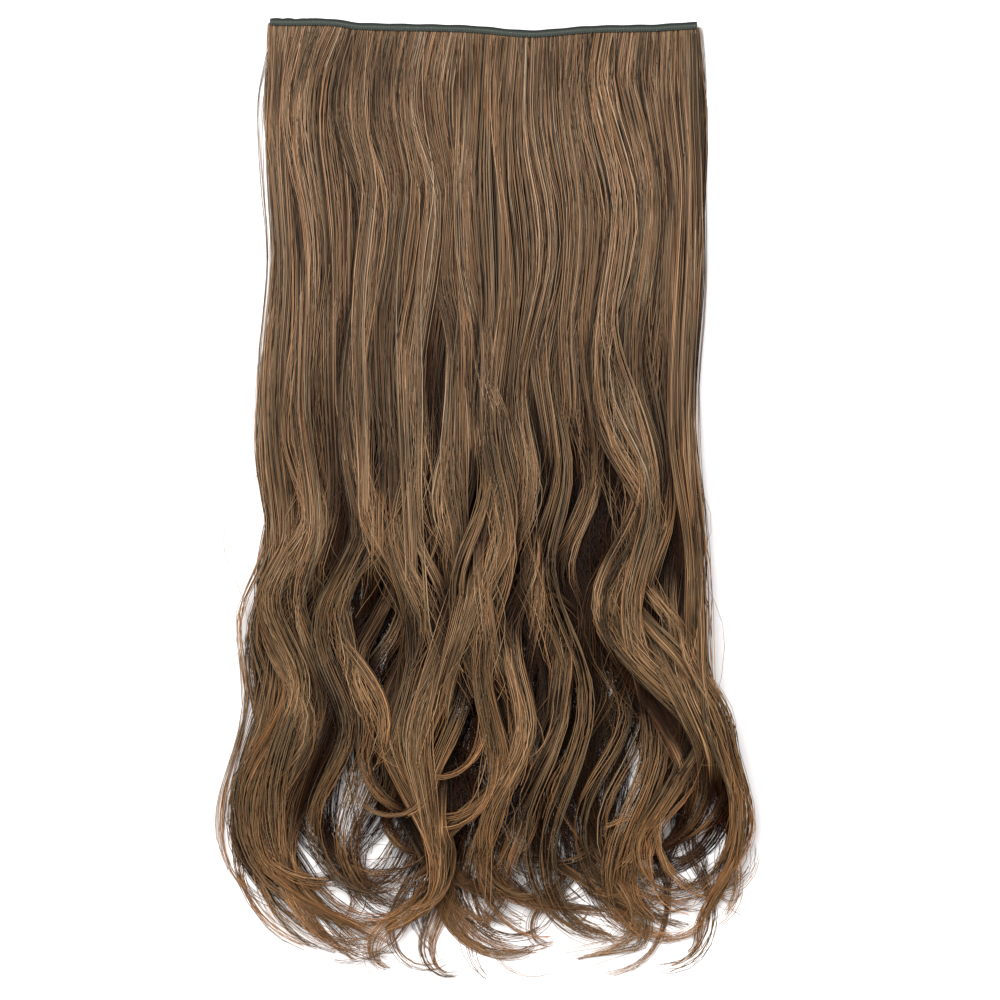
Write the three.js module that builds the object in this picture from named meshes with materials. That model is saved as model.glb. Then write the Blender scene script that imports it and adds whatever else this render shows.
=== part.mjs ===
// A wide hair extension with loose waves, lying on its back on a flat surface.
// Sizes are millimetres. X runs along the tape, -Y runs from the tape to the
// hair tips and +Z points up, away from the surface. The origin is on the
// underside of the middle clip.
import * as THREE from 'three';

// Tape: one strip folded along its top edge, open along its lower edge
const BAND_WIDTH = 274;
const BAND_HEIGHT = 5;
const BAND_WALL = 1;
const BAND_BOTTOM = 3.3;
const BAND_TOP = 8.4;
const BAND_STATIONS = 36;
const FOLD_STEPS = 6;

// The tape doesn't lie quite straight: its ends lift and it sags right of the middle
const BAND_TILT = -1.2;
const BAND_LIFT = 1.8;
const BAND_SAG = 3.2;
const BAND_SAG_AT = 30;
const BAND_SAG_SPREAD = 28;

// Snap clips, sewn under the tape
const CLIP_COUNT = 5;
const CLIP_PITCH = 56;
const CLIP_WIDTH = 32;
const CLIP_HEIGHT = 10;
const CLIP_THICKNESS = 3;
const CLIP_CORNER = 4;
const CLIP_DROP = 5;

// Hair: how the locks start, sway and stack
const GAP = 0.3;
const ROOT_TUCK = 0.9;
const ROOT_THICKNESS = 1.1;
const ROOT_HOLD = 8;
const ROOT_SWELL = 80;
const BOW_LENGTH = 185;
const LEAN_START = 170;
const WAVE_START = 215;
const WAVE_FULL = 360;
const CURL_LOOSE = 0.6;
const CURL_TIGHT = 1.4;
const TIP_TAPER = 140;
const TIP_SHARE = 0.25;
const STEEPEST = 0.3;

// Mesh of a lock
const PATH_STEP = 2;
const SECTIONS = 36;
const SIDES = 6;
const SQUARENESS = 2.4;
const LENGTH_PER_SECTION = 60;
const TURN_PER_SECTION = THREE.MathUtils.degToRad(22);
const ROOT_LENGTH_PER_SECTION = 14;

// Heights are kept on a grid while the locks are laid over each other
const FIELD_CELL = 1;
const FIELD_HALF_WIDTH = 220;
const FIELD_LENGTH = 680;
const FIELD_MARGIN = 20;

// A row for each lock, from left to right. bow: sideways sway of the straight
// part; lean: sideways drift; swing, wave and crest: half width, length and
// depth of a right-hand crest of the waves; drop: depth where the tip curl
// starts; turn (degrees, + to the right) and radius: the tip curl; order:
// which locks are laid first.
const COLUMNS = ['bow', 'lean', 'swing', 'wave', 'crest', 'drop', 'turn', 'radius', 'order'];

const BACK_ROWS = [
  [3, -20, 12, 128, 318, 515, 80, 66, 0],
  [3, -24, 13, 126, 316, 545, 85, 60, 0],
  [4, -20, 15, 126, 322, 560, 85, 52, 0],
  [4, 10, 13, 124, 372, 560, -90, 34, 0],
  [4, -10, 14, 132, 378, 555, 80, 42, 0],
  [3, -6, 13, 136, 380, 555, 105, 36, 0],
  [3, -10, 13, 140, 392, 535, 125, 38, 0],
  [3, -10, 14, 140, 410, 520, 105, 44, 0],
  [4, 20, 15, 136, 428, 530, 100, 44, 0],
  [4, 32, 17, 140, 440, 530, -110, 36, 0],
  [3, 34, 14, 130, 446, 535, -105, 36, 0],
  [2, 26, 9, 190, 509, 525, -80, 50, 0],
];

const FRONT_ROWS = [
  [4, -20, 11, 128, 320, 492, 75, 68, 1],
  [4, -22, 14, 128, 318, 520, 75, 72, 1],
  [5, -22, 15, 130, 318, 525, 90, 54, 1],
  [5, -4, 12, 128, 320, 485, 150, 40, 2],
  [6, 4, 13, 126, 388, 540, -95, 32, 1],
  [6, 4, 12, 140, 390, 555, -80, 32, 1],
  [5, -16, 12, 170, 368, 515, -50, 46, 1],
  [3, -20, 12, 170, 376, 500, -80, 40, 1],
  [3, -12, 8, 150, 464, 482, -100, 38, 2],
  [4, -14, 12, 165, 450, 520, 80, 60, 1],
  [3, -16, 15, 200, 415, 535, 85, 60, 1],
  [4, 42, 17, 148, 458, 535, 130, 38, 2],
  [5, 50, 22, 150, 450, 522, 130, 34, 3],
  [5, 28, 20, 180, 412, 500, -40, 60, 2],
  [3, 32, 10, 150, 455, 500, -80, 50, 2],
  [2, 26, 8, 190, 509, 520, -50, 70, 3],
];

// Both layers of roots sit inside the folded tape, one over the other
const BACK_ROOT = BAND_BOTTOM + BAND_WALL + GAP;
const FRONT_ROOT = BACK_ROOT + ROOT_THICKNESS + GAP;

const LAYERS = [
  { prefix: 'lock_b', rows: BACK_ROWS, rootBase: BACK_ROOT, thick: 5.2, spread: 1.4, colour: 0x4f3826 },
  { prefix: 'lock_f', rows: FRONT_ROWS, rootBase: FRONT_ROOT, thick: 4.8, spread: 1.2, colour: 0x7a5a3f },
];

/** How far the tape's middle line lies above its straight line at x. */
function bandSway(x) {
  const across = x / (BAND_WIDTH / 2);
  const sag = BAND_SAG * Math.exp(-(((x - BAND_SAG_AT) / BAND_SAG_SPREAD) ** 2));
  return BAND_TILT * across + BAND_LIFT * across * across - sag;
}

/** Y of the tape's middle line at x. */
function bandY(x) {
  return CLIP_DROP + bandSway(x) - bandSway(0);
}

/** A mesh with a name and a material of its own. */
function makeMesh(name, geometry, colour, roughness, metalness) {
  const material = new THREE.MeshStandardMaterial({ color: colour, roughness, metalness });
  const mesh = new THREE.Mesh(geometry, material);
  mesh.name = name;
  return mesh;
}

/** Closed skin over equal rings of points, with flat ends given as index fans. */
function skinRings(rings, endTriangles) {
  const size = rings[0].length;
  const positions = rings.flat().flatMap((point) => point.toArray());
  const index = [];
  for (let i = 0; i + 1 < rings.length; i += 1) {
    for (let k = 0; k < size; k += 1) {
      const next = (k + 1) % size;
      const a = i * size + k;
      const b = i * size + next;
      index.push(a, b, b + size, a, b + size, a + size);
    }
  }
  const last = (rings.length - 1) * size;
  for (const [a, b, c] of endTriangles) {
    index.push(a, c, b);
    index.push(last + a, last + b, last + c);
  }
  const geometry = new THREE.BufferGeometry();
  geometry.setAttribute('position', new THREE.Float32BufferAttribute(positions, 3));
  geometry.setIndex(index);
  geometry.computeVertexNormals();
  return geometry;
}

/** Outline of the folded tape across its length, as (distance from middle line, height). */
function bandOutline() {
  const lip = -BAND_HEIGHT / 2;
  const radius = (BAND_TOP - BAND_BOTTOM) / 2;
  const middle = (BAND_TOP + BAND_BOTTOM) / 2;
  const fold = BAND_HEIGHT / 2 - radius;
  const outer = [new THREE.Vector2(lip, BAND_BOTTOM)];
  const inner = [new THREE.Vector2(lip, BAND_BOTTOM + BAND_WALL)];
  for (let k = 0; k <= FOLD_STEPS; k += 1) {
    const angle = -Math.PI / 2 + (Math.PI * k) / FOLD_STEPS;
    const reach = new THREE.Vector2(Math.cos(angle), Math.sin(angle));
    outer.push(new THREE.Vector2(fold, middle).addScaledVector(reach, radius));
    inner.push(new THREE.Vector2(fold, middle).addScaledVector(reach, radius - BAND_WALL));
  }
  outer.push(new THREE.Vector2(lip, BAND_TOP));
  inner.push(new THREE.Vector2(lip, BAND_TOP - BAND_WALL));
  return [...outer, ...inner.reverse()];
}

function buildBand() {
  const outline = bandOutline();
  const rings = [];
  for (let i = 0; i <= BAND_STATIONS; i += 1) {
    const x = -BAND_WIDTH / 2 + (BAND_WIDTH * i) / BAND_STATIONS;
    rings.push(outline.map((p) => new THREE.Vector3(x, bandY(x) + p.x, p.y)));
  }
  const ends = THREE.ShapeUtils.triangulateShape(outline, []);
  return makeMesh('weft_band', skinRings(rings, ends), 0x343b36, 0.9, 0);
}

/** Rectangle with rounded corners around the origin. */
function roundedPlate(width, height, radius) {
  const right = width / 2 - radius;
  const top = height / 2 - radius;
  const plate = new THREE.Shape();
  plate.absarc(right, -top, radius, -Math.PI / 2, 0);
  plate.absarc(right, top, radius, 0, Math.PI / 2);
  plate.absarc(-right, top, radius, Math.PI / 2, Math.PI);
  plate.absarc(-right, -top, radius, Math.PI, Math.PI * 1.5);
  plate.closePath();
  return plate;
}

/** X of a snap clip's middle. */
function clipX(index) {
  return (index - (CLIP_COUNT - 1) / 2) * CLIP_PITCH;
}

function buildClip(index) {
  const plate = roundedPlate(CLIP_WIDTH, CLIP_HEIGHT, CLIP_CORNER);
  const geometry = new THREE.ExtrudeGeometry(plate, {
    depth: CLIP_THICKNESS,
    bevelEnabled: false,
    curveSegments: 6,
  });
  const x = clipX(index);
  geometry.translate(x, bandY(x) - CLIP_DROP, 0);
  return makeMesh(`snap_clip_${index + 1}`, geometry, 0x2a2320, 0.4, 0.6);
}

/** How high the laid pieces reach above each spot of the surface. */
class HeightField {
  constructor() {
    this.columns = Math.ceil((2 * FIELD_HALF_WIDTH) / FIELD_CELL);
    this.lines = Math.ceil(FIELD_LENGTH / FIELD_CELL);
    this.heights = new Float32Array(this.columns * this.lines);
  }

  cell(x, y) {
    const column = Math.floor((x + FIELD_HALF_WIDTH) / FIELD_CELL);
    const line = Math.floor((FIELD_MARGIN - y) / FIELD_CELL);
    return [column, line];
  }

  raise(x, y, z) {
    const [column, line] = this.cell(x, y);
    const at = line * this.columns + column;
    this.heights[at] = Math.max(this.heights[at], z);
  }

  /** Highest point in and around the cell at (x, y). */
  highest(x, y) {
    const [column, line] = this.cell(x, y);
    let top = 0;
    for (let i = line - 1; i <= line + 1; i += 1) {
      for (let k = column - 1; k <= column + 1; k += 1) {
        top = Math.max(top, this.heights[i * this.columns + k]);
      }
    }
    return top;
  }
}

/** Height field with the clips and the lower wall of the tape in it. */
function startField() {
  const field = new HeightField();
  for (let x = -BAND_WIDTH / 2; x <= BAND_WIDTH / 2; x += FIELD_CELL / 2) {
    for (let across = -BAND_HEIGHT / 2; across <= 0; across += FIELD_CELL / 2) {
      field.raise(x, bandY(x) + across, BAND_BOTTOM + BAND_WALL);
    }
  }
  for (let i = 0; i < CLIP_COUNT; i += 1) {
    const middle = clipX(i);
    for (let dx = -CLIP_WIDTH / 2; dx <= CLIP_WIDTH / 2; dx += FIELD_CELL / 2) {
      for (let dy = -CLIP_HEIGHT / 2; dy <= CLIP_HEIGHT / 2; dy += FIELD_CELL / 2) {
        field.raise(middle + dx, bandY(middle) - CLIP_DROP + dy, CLIP_THICKNESS);
      }
    }
  }
  return field;
}

/** X of a lock's middle line at a depth below its root. */
function lateral(lock, depth) {
  const waving = THREE.MathUtils.smoothstep(depth, WAVE_START, WAVE_FULL);
  const bow = lock.bow * Math.sin((2 * Math.PI * depth) / BOW_LENGTH) * (1 - waving);
  const lean = lock.lean * THREE.MathUtils.smoothstep(depth, LEAN_START, lock.drop);
  const swing = lock.swing * waving * Math.cos((2 * Math.PI * (depth - lock.crest)) / lock.wave);
  return lock.root - bow + lean + swing;
}

/** Middle line of a lock seen from above: waves, then a curl that tightens to the tip. */
function middleLine(lock) {
  const top = bandY(lock.root) - BAND_HEIGHT / 2 + ROOT_TUCK;
  const points = [];
  for (let depth = 0; depth < lock.drop; depth += PATH_STEP) {
    points.push(new THREE.Vector2(lateral(lock, depth), top - depth));
  }
  const turn = THREE.MathUtils.degToRad(lock.turn);
  const steps = Math.ceil((Math.abs(turn) * lock.radius) / PATH_STEP);
  const before = points.at(-2);
  const point = points.at(-1).clone();
  let heading = Math.atan2(point.x - before.x, before.y - point.y);
  for (let k = 0; k < steps; k += 1) {
    const share = (k + 0.5) / steps;
    heading += (turn / steps) * THREE.MathUtils.lerp(CURL_LOOSE, CURL_TIGHT, share);
    point.x += Math.sin(heading) * PATH_STEP;
    point.y -= Math.cos(heading) * PATH_STEP;
    points.push(point.clone());
  }
  return points;
}

/** Places along the middle line for the sections, closer together at the root and in bends. */
function pickSections(points) {
  const weights = [0];
  for (let i = 1; i < points.length; i += 1) {
    const step = points[i].clone().sub(points[i - 1]);
    const onward = points[Math.min(i + 1, points.length - 1)].clone().sub(points[i]);
    const turn = onward.lengthSq() > 0 ? Math.abs(step.cross(onward)) / (step.length() * onward.length()) : 0;
    const nearRoot = i * PATH_STEP < ROOT_SWELL ? step.length() / ROOT_LENGTH_PER_SECTION : 0;
    weights.push(weights[i - 1] + step.length() / LENGTH_PER_SECTION + turn / TURN_PER_SECTION + nearRoot);
  }
  const held = weights[Math.round(ROOT_HOLD / PATH_STEP)];
  const picks = [0];
  for (let k = 0; k < SECTIONS - 1; k += 1) {
    const wanted = THREE.MathUtils.lerp(held, weights.at(-1), k / (SECTIONS - 2));
    picks.push(weights.findIndex((weight) => weight >= wanted - 1e-9));
  }
  return picks;
}

/** Sections of a lock with their place, direction across, width and thickness. */
function makeSections(lock) {
  const points = middleLine(lock);
  const lengths = [0];
  for (let i = 1; i < points.length; i += 1) {
    lengths.push(lengths[i - 1] + points[i].distanceTo(points[i - 1]));
  }
  const total = lengths.at(-1);
  return pickSections(points).map((i) => {
    const before = points[Math.max(i - 1, 0)];
    const after = points[Math.min(i + 1, points.length - 1)];
    const along = after.clone().sub(before).normalize();
    const run = lengths[i];
    const spread = THREE.MathUtils.lerp(1, lock.spread, THREE.MathUtils.smoothstep(run, WAVE_START, WAVE_FULL));
    const swell = THREE.MathUtils.smoothstep(run, ROOT_HOLD, ROOT_SWELL);
    const taper = THREE.MathUtils.lerp(1, TIP_SHARE, THREE.MathUtils.smoothstep(run, total - TIP_TAPER, total));
    return {
      middle: points[i],
      across: new THREE.Vector2(-along.y, along.x),
      run,
      width: lock.width * spread * taper,
      thick: THREE.MathUtils.lerp(ROOT_THICKNESS, lock.thick, swell) * taper,
      base: 0,
    };
  });
}

/** How far the rounded underside rises at a share of the half width. */
function undersideRise(thick, share) {
  return (thick / 2) * (1 - (1 - Math.abs(share) ** SQUARENESS) ** (1 / SQUARENESS));
}

/** Visits spots all over a lock between two sections, as (x, y, share along, share across). */
function eachSpot(from, to, visit) {
  const length = from.middle.distanceTo(to.middle) + Math.max(from.width, to.width) / 2;
  const alongSteps = Math.ceil((2 * length) / FIELD_CELL);
  const acrossSteps = Math.ceil((2 * Math.max(from.width, to.width)) / FIELD_CELL);
  for (let i = 0; i <= alongSteps; i += 1) {
    const along = i / alongSteps;
    for (let k = 0; k <= acrossSteps; k += 1) {
      const share = (2 * k) / acrossSteps - 1;
      const start = from.middle.clone().addScaledVector(from.across, (share * from.width) / 2);
      const end = to.middle.clone().addScaledVector(to.across, (share * to.width) / 2);
      const spot = start.lerp(end, along);
      visit(spot.x, spot.y, along, share);
    }
  }
}

/** Lays a lock on what is under it, without steep climbs, and adds it to the field. */
function layLock(sections, rootBase, field) {
  const needed = sections.map(() => 0);
  for (let i = 0; i + 1 < sections.length; i += 1) {
    let rest = 0;
    eachSpot(sections[i], sections[i + 1], (x, y, along, share) => {
      const thick = THREE.MathUtils.lerp(sections[i].thick, sections[i + 1].thick, along);
      const below = field.highest(x, y);
      rest = below > 0 ? Math.max(rest, below + GAP - undersideRise(thick, share)) : rest;
    });
    needed[i] = Math.max(needed[i], rest);
    needed[i + 1] = Math.max(needed[i + 1], rest);
  }
  for (const section of sections) {
    const reach = sections.map((other, k) => needed[k] - STEEPEST * Math.abs(other.run - section.run));
    section.base = section.run < ROOT_HOLD + PATH_STEP / 2 ? rootBase : Math.max(0, ...reach);
  }
  for (let i = 0; i + 1 < sections.length; i += 1) {
    const [from, to] = [sections[i], sections[i + 1]];
    eachSpot(from, to, (x, y, along, share) => {
      const thick = THREE.MathUtils.lerp(from.thick, to.thick, along);
      const base = THREE.MathUtils.lerp(from.base, to.base, along);
      field.raise(x, y, base + thick - undersideRise(thick, share));
    });
  }
}

/** Rounded flat ring of points around a section. */
function sectionRing(section) {
  const ring = [];
  for (let k = 0; k < SIDES; k += 1) {
    const angle = (2 * Math.PI * k) / SIDES;
    const side = Math.sign(Math.cos(angle)) * Math.abs(Math.cos(angle)) ** (2 / SQUARENESS);
    const up = Math.sign(Math.sin(angle)) * Math.abs(Math.sin(angle)) ** (2 / SQUARENESS);
    const spot = section.middle.clone().addScaledVector(section.across, (side * section.width) / 2);
    ring.push(new THREE.Vector3(spot.x, spot.y, section.base + (section.thick / 2) * (1 + up)));
  }
  return ring;
}

function listLocks() {
  return LAYERS.flatMap((layer) => {
    const pitch = BAND_WIDTH / layer.rows.length;
    return layer.rows.map((row, k) => ({
      ...Object.fromEntries(COLUMNS.map((column, i) => [column, row[i]])),
      name: `${layer.prefix}${String(k + 1).padStart(2, '0')}`,
      turnToLay: 2 * row[COLUMNS.indexOf('order')] + (k % 2),
      root: (k - (layer.rows.length - 1) / 2) * pitch,
      width: pitch - 2 * GAP,
      thick: layer.thick,
      spread: layer.spread,
      rootBase: layer.rootBase,
      colour: layer.colour,
    }));
  });
}

function buildLocks() {
  const field = startField();
  const ends = [];
  for (let k = 1; k + 1 < SIDES; k += 1) {
    ends.push([0, k, k + 1]);
  }
  const locks = listLocks().sort((a, b) => a.turnToLay - b.turnToLay);
  return locks.map((lock) => {
    const sections = makeSections(lock);
    layLock(sections, lock.rootBase, field);
    return makeMesh(lock.name, skinRings(sections.map(sectionRing), ends), lock.colour, 0.55, 0);
  });
}

const extension = new THREE.Group();
extension.name = 'hair_extension';
extension.add(buildBand());
for (let i = 0; i < CLIP_COUNT; i += 1) {
  extension.add(buildClip(i));
}
extension.add(...buildLocks());

export default extension;
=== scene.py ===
"""Wide wavy hair extension: strand hair, folded cloth tape, snap clips and a pale studio."""
import logging
import math
from dataclasses import dataclass, field, replace
from enum import Enum
from typing import NamedTuple

import bpy
import numpy as np
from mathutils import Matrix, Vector
from mathutils.bvhtree import BVHTree


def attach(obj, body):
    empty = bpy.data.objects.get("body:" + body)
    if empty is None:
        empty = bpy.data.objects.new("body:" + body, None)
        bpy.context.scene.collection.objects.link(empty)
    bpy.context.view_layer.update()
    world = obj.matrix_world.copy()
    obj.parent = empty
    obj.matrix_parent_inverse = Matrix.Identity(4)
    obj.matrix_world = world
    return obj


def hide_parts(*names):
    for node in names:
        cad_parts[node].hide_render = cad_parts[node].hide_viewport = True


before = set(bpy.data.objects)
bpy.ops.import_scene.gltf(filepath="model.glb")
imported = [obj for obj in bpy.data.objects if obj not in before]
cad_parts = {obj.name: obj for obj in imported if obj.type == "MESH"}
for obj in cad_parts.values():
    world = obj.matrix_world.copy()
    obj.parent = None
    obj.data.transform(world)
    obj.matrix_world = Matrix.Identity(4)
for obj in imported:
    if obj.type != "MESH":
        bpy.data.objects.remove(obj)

LOG = logging.getLogger("hair_extension")
MM = 0.001
BODY = "root"

Colour = tuple[float, float, float]
Point = tuple[float, float]
WHITE: Colour = (1.0, 1.0, 1.0)
NOISE_MEAN = 0.5


def smoothstep(value: np.ndarray | float, low: float, high: float) -> np.ndarray:
    """Ease from 0 at low to 1 at high."""
    share = np.clip((np.asarray(value, float) - low) / (high - low), 0.0, 1.0)
    return share * share * (3.0 - 2.0 * share)


def blend(start: float, end: float, share: np.ndarray | float) -> np.ndarray | float:
    """Straight mix from start to end."""
    return start + (end - start) * share


class Value:
    """A node's output socket, with arithmetic that adds Math nodes."""

    def __init__(self, sheet: "NodeSheet", socket: bpy.types.NodeSocket) -> None:
        """Remember the socket and the sheet that it is on."""
        self.sheet = sheet
        self.socket = socket

    def math(self, operation: str, left: "Value | float", right: "Value | float" = 0.0) -> "Value":
        """Add a Math node."""
        return self.sheet.add("ShaderNodeMath", {"operation": operation}, {0: left, 1: right})

    def sine(self) -> "Value":
        """Sine of the value."""
        return self.math("SINE", self)

    def __add__(self, other: "Value | float") -> "Value":
        """self + other."""
        return self.math("ADD", self, other)

    def __radd__(self, other: float) -> "Value":
        """other + self."""
        return self.math("ADD", other, self)

    def __sub__(self, other: "Value | float") -> "Value":
        """self - other."""
        return self.math("SUBTRACT", self, other)

    def __rsub__(self, other: float) -> "Value":
        """other - self."""
        return self.math("SUBTRACT", other, self)

    def __mul__(self, other: "Value | float") -> "Value":
        """self * other."""
        return self.math("MULTIPLY", self, other)

    def __rmul__(self, other: float) -> "Value":
        """other * self."""
        return self.math("MULTIPLY", other, self)


class NodeSheet:
    """A node tree that is written one node at a time."""

    def __init__(self, tree: bpy.types.NodeTree) -> None:
        """Start on an empty tree."""
        self.tree = tree

    def add(
        self,
        kind: str,
        settings: dict[str, object] | None = None,
        sockets: dict[int | str, object] | None = None,
        output: int | str = 0,
    ) -> Value:
        """Add a node.

        Args:
            kind: the node's type name.
            settings: its properties, set first; "stops" fills a colour ramp.
            sockets: a number, colour, material or Value for each input by name or index.
            output: the output that the returned value stands for.

        Returns:
            The chosen output.
        """
        node = self.tree.nodes.new(kind)
        for name, setting in (settings or {}).items():
            if name == "stops":
                self.fill_ramp(node.color_ramp, setting)
            else:
                setattr(node, name, setting)
        for key, given in (sockets or {}).items():
            socket = node.inputs[key]
            if isinstance(given, Value):
                self.tree.links.new(given.socket, socket)
            else:
                socket.default_value = given
        return Value(self, node.outputs[output] if len(node.outputs) else None)

    def tinted(self, colour: Value, tint: Value) -> Value:
        """Multiply one colour by another."""
        settings = {"data_type": "RGBA", "blend_type": "MULTIPLY"}
        return self.add("ShaderNodeMix", settings, {"Factor": 1.0, "A": colour, "B": tint}, "Result")

    def ramp(self, stops: list[tuple[float, Colour]], factor: Value) -> Value:
        """Read a colour ramp at a factor."""
        return self.add("ShaderNodeValToRGB", {"stops": stops}, {"Fac": factor})

    def noise(self, where: Value, scale: float, detail: float = 2.0, dimensions: str = "3D") -> Value:
        """Read a noise texture at a place."""
        sockets = {"Vector": where, "Scale": scale, "Detail": detail}
        return self.add("ShaderNodeTexNoise", {"noise_dimensions": dimensions}, sockets)

    @staticmethod
    def fill_ramp(ramp: bpy.types.ColorRamp, stops: list[tuple[float, Colour]]) -> None:
        """Set a colour ramp's stops.

        Args:
            ramp: the ramp of a new node, which holds two stops.
            stops: places and colours in rising order.
        """
        while len(ramp.elements) < len(stops):
            ramp.elements.new(0.5)
        for element, (place, colour) in zip(ramp.elements, stops):
            element.position = place
            element.color = (*colour, 1.0)


def new_material(name: str, colour: Colour) -> tuple[bpy.types.Material, NodeSheet]:
    """Make a material with an empty node tree.

    Args:
        name: the material's name.
        colour: its plain colour, as a viewport shows it.

    Returns:
        The material and the sheet to write its nodes on.
    """
    material = bpy.data.materials.new(name)
    material.use_nodes = True
    material.node_tree.nodes.clear()
    material.diffuse_color = (*colour, 1.0)
    return material, NodeSheet(material.node_tree)


def close_material(sheet: NodeSheet, sockets: dict[str, object]) -> None:
    """Add the surface shader and the output.

    Args:
        sheet: the material's sheet.
        sockets: inputs of the Principled shader.
    """
    surface = sheet.add("ShaderNodeBsdfPrincipled", {}, sockets)
    sheet.add("ShaderNodeOutputMaterial", {}, {"Surface": surface})


@dataclass(frozen=True)
class HairFinish:
    """Fine brown fibre with dark, ash and golden hairs in it, with painted shade where hair lies under hair
    and from the middle of its length down.
    """

    name: str
    shadow: Colour
    ash: Colour
    brown: Colour
    gold: Colour
    pale: Colour
    # Colour of the painted shade on hair that lies deep under other hair.
    painted_depth_shade: Colour
    # Tints along each hair's length: painted shade that darkens and warms the middle and lower lengths,
    # where the curls shade each other, and warmer tips.
    middle_painted_shade: Colour = (0.85, 0.84, 0.81)
    wave_painted_shade: Colour = (0.95, 0.9, 0.81)
    low_painted_shade: Colour = (0.85, 0.8, 0.67)
    tip_tint: Colour = (1.15, 0.98, 0.76)
    cool_tint: Colour = (0.91, 1.0, 1.07)
    warm_tint: Colour = (1.17, 0.96, 0.81)
    roughness: float = 0.42
    gloss: float = 0.13
    streaks: float = 0.45
    streak_cells: Point = (37.0, 9.0)
    hue_cells: Point = (90.0, 1.5)

    def material(self) -> bpy.types.Material:
        """Make the fibre, coloured by each hair's own tone, with painted shade by its depth under other hair
        and along its length.

        Returns:
            The material.
        """
        material, sheet = new_material(self.name, self.brown)
        tone, along, hair, open_share = (
            sheet.add("ShaderNodeAttribute", {"attribute_name": name}, output="Fac")
            for name in ("tone", "along", "hair", "open")
        )
        streak_place, hue_place = (
            sheet.add("ShaderNodeCombineXYZ", {}, {"X": hair * across, "Y": along * down})
            for across, down in (self.streak_cells, self.hue_cells)
        )
        streak = sheet.noise(streak_place, 1.0, dimensions="2D")
        hue = sheet.noise(hue_place, 1.0, dimensions="2D")
        shades = [
            (0.0, self.shadow),
            (0.3, self.ash),
            (0.52, self.brown),
            (0.76, self.gold),
            (1.0, self.pale),
        ]
        # Painted shade along the length: darker and warmer from the middle down, warmer at the tips.
        lengths = [
            (0.22, WHITE),
            (0.42, self.middle_painted_shade),
            (0.56, self.wave_painted_shade),
            (0.82, self.low_painted_shade),
            (0.97, self.tip_tint),
        ]
        hues = [(0.38, self.cool_tint), (0.62, self.warm_tint)]
        # Painted shade: hair that lies deep under other hair is darkened towards this colour.
        depths = [(0.0, self.painted_depth_shade), (1.0, WHITE)]
        shade = sheet.ramp(shades, tone + (streak - NOISE_MEAN) * self.streaks)
        tint = sheet.tinted(sheet.ramp(lengths, along), sheet.ramp(hues, hue))
        tint = sheet.tinted(tint, sheet.ramp(depths, open_share))
        close_material(
            sheet,
            {
                "Base Color": sheet.tinted(shade, tint),
                "Roughness": self.roughness,
                "Specular IOR Level": self.gloss,
            },
        )
        return material


@dataclass(frozen=True)
class TapeFinish:
    """Dark grey-green woven tape with lengthwise stripes."""

    name: str = "tape_cloth"
    dark: Colour = (0.014, 0.017, 0.014)
    green: Colour = (0.03, 0.037, 0.031)
    light_stripe: Colour = (0.06, 0.069, 0.059)
    thread_pitch: float = 0.7 * MM
    yarn_scale: float = 420.0
    yarn_detail: float = 3.0
    yarn_fleck: float = 1.3
    rib_fleck: float = 0.16
    fleck_base: float = 0.35
    rib_height: float = 0.5
    relief: float = 0.7
    relief_depth: float = 0.3 * MM
    roughness: float = 0.9
    gloss: float = 0.2

    def material(self) -> bpy.types.Material:
        """Make the cloth with a rib weave that follows the tape.

        Returns:
            The material.
        """
        material, sheet = new_material(self.name, self.green)
        cloth = sheet.add("ShaderNodeUVMap", {"uv_map": "cloth"})
        run, across = (
            sheet.add("ShaderNodeSeparateXYZ", {}, {0: cloth}, output=axis) for axis in ("X", "Y")
        )
        yarn = sheet.noise(cloth, self.yarn_scale, self.yarn_detail, "2D")
        rib = (run * (math.tau / self.thread_pitch)).sine()
        # Lengthwise stripes round the fold: dark at both lips and on the upper bend, lighter on the fold's
        # outer edge and on the top next to the fold.
        stripes = [
            (0.0, self.dark),
            (0.47, self.green),
            (0.52, self.light_stripe),
            (0.58, self.green),
            (0.68, self.dark),
            (0.75, self.green),
            (0.84, self.light_stripe),
            (0.92, self.green),
            (1.0, self.dark),
        ]
        fleck = yarn * self.yarn_fleck + rib * self.rib_fleck + self.fleck_base
        flecks = sheet.add("ShaderNodeCombineColor", {}, {0: fleck, 1: fleck, 2: fleck})
        height = rib * self.rib_height + yarn
        weave = {"Strength": self.relief, "Distance": self.relief_depth, "Height": height}
        close_material(
            sheet,
            {
                "Base Color": sheet.tinted(sheet.ramp(stripes, across), flecks),
                "Roughness": self.roughness,
                "Specular IOR Level": self.gloss,
                "Normal": sheet.add("ShaderNodeBump", {}, weave),
            },
        )
        return material


@dataclass(frozen=True)
class ThreadFinish:
    """Sewing thread."""

    name: str = "sewing_thread"
    light: Colour = (0.12, 0.13, 0.11)
    dark: Colour = (0.035, 0.042, 0.036)
    mottle_scale: float = 900.0
    roughness: float = 0.7

    def material(self) -> bpy.types.Material:
        """Make mottled thread.

        Returns:
            The material.
        """
        material, sheet = new_material(self.name, self.light)
        where = sheet.add("ShaderNodeTexCoord", output="Object")
        mottle = sheet.noise(where, self.mottle_scale)
        shade = sheet.ramp([(0.35, self.dark), (0.65, self.light)], mottle)
        close_material(sheet, {"Base Color": shade, "Roughness": self.roughness})
        return material


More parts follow.
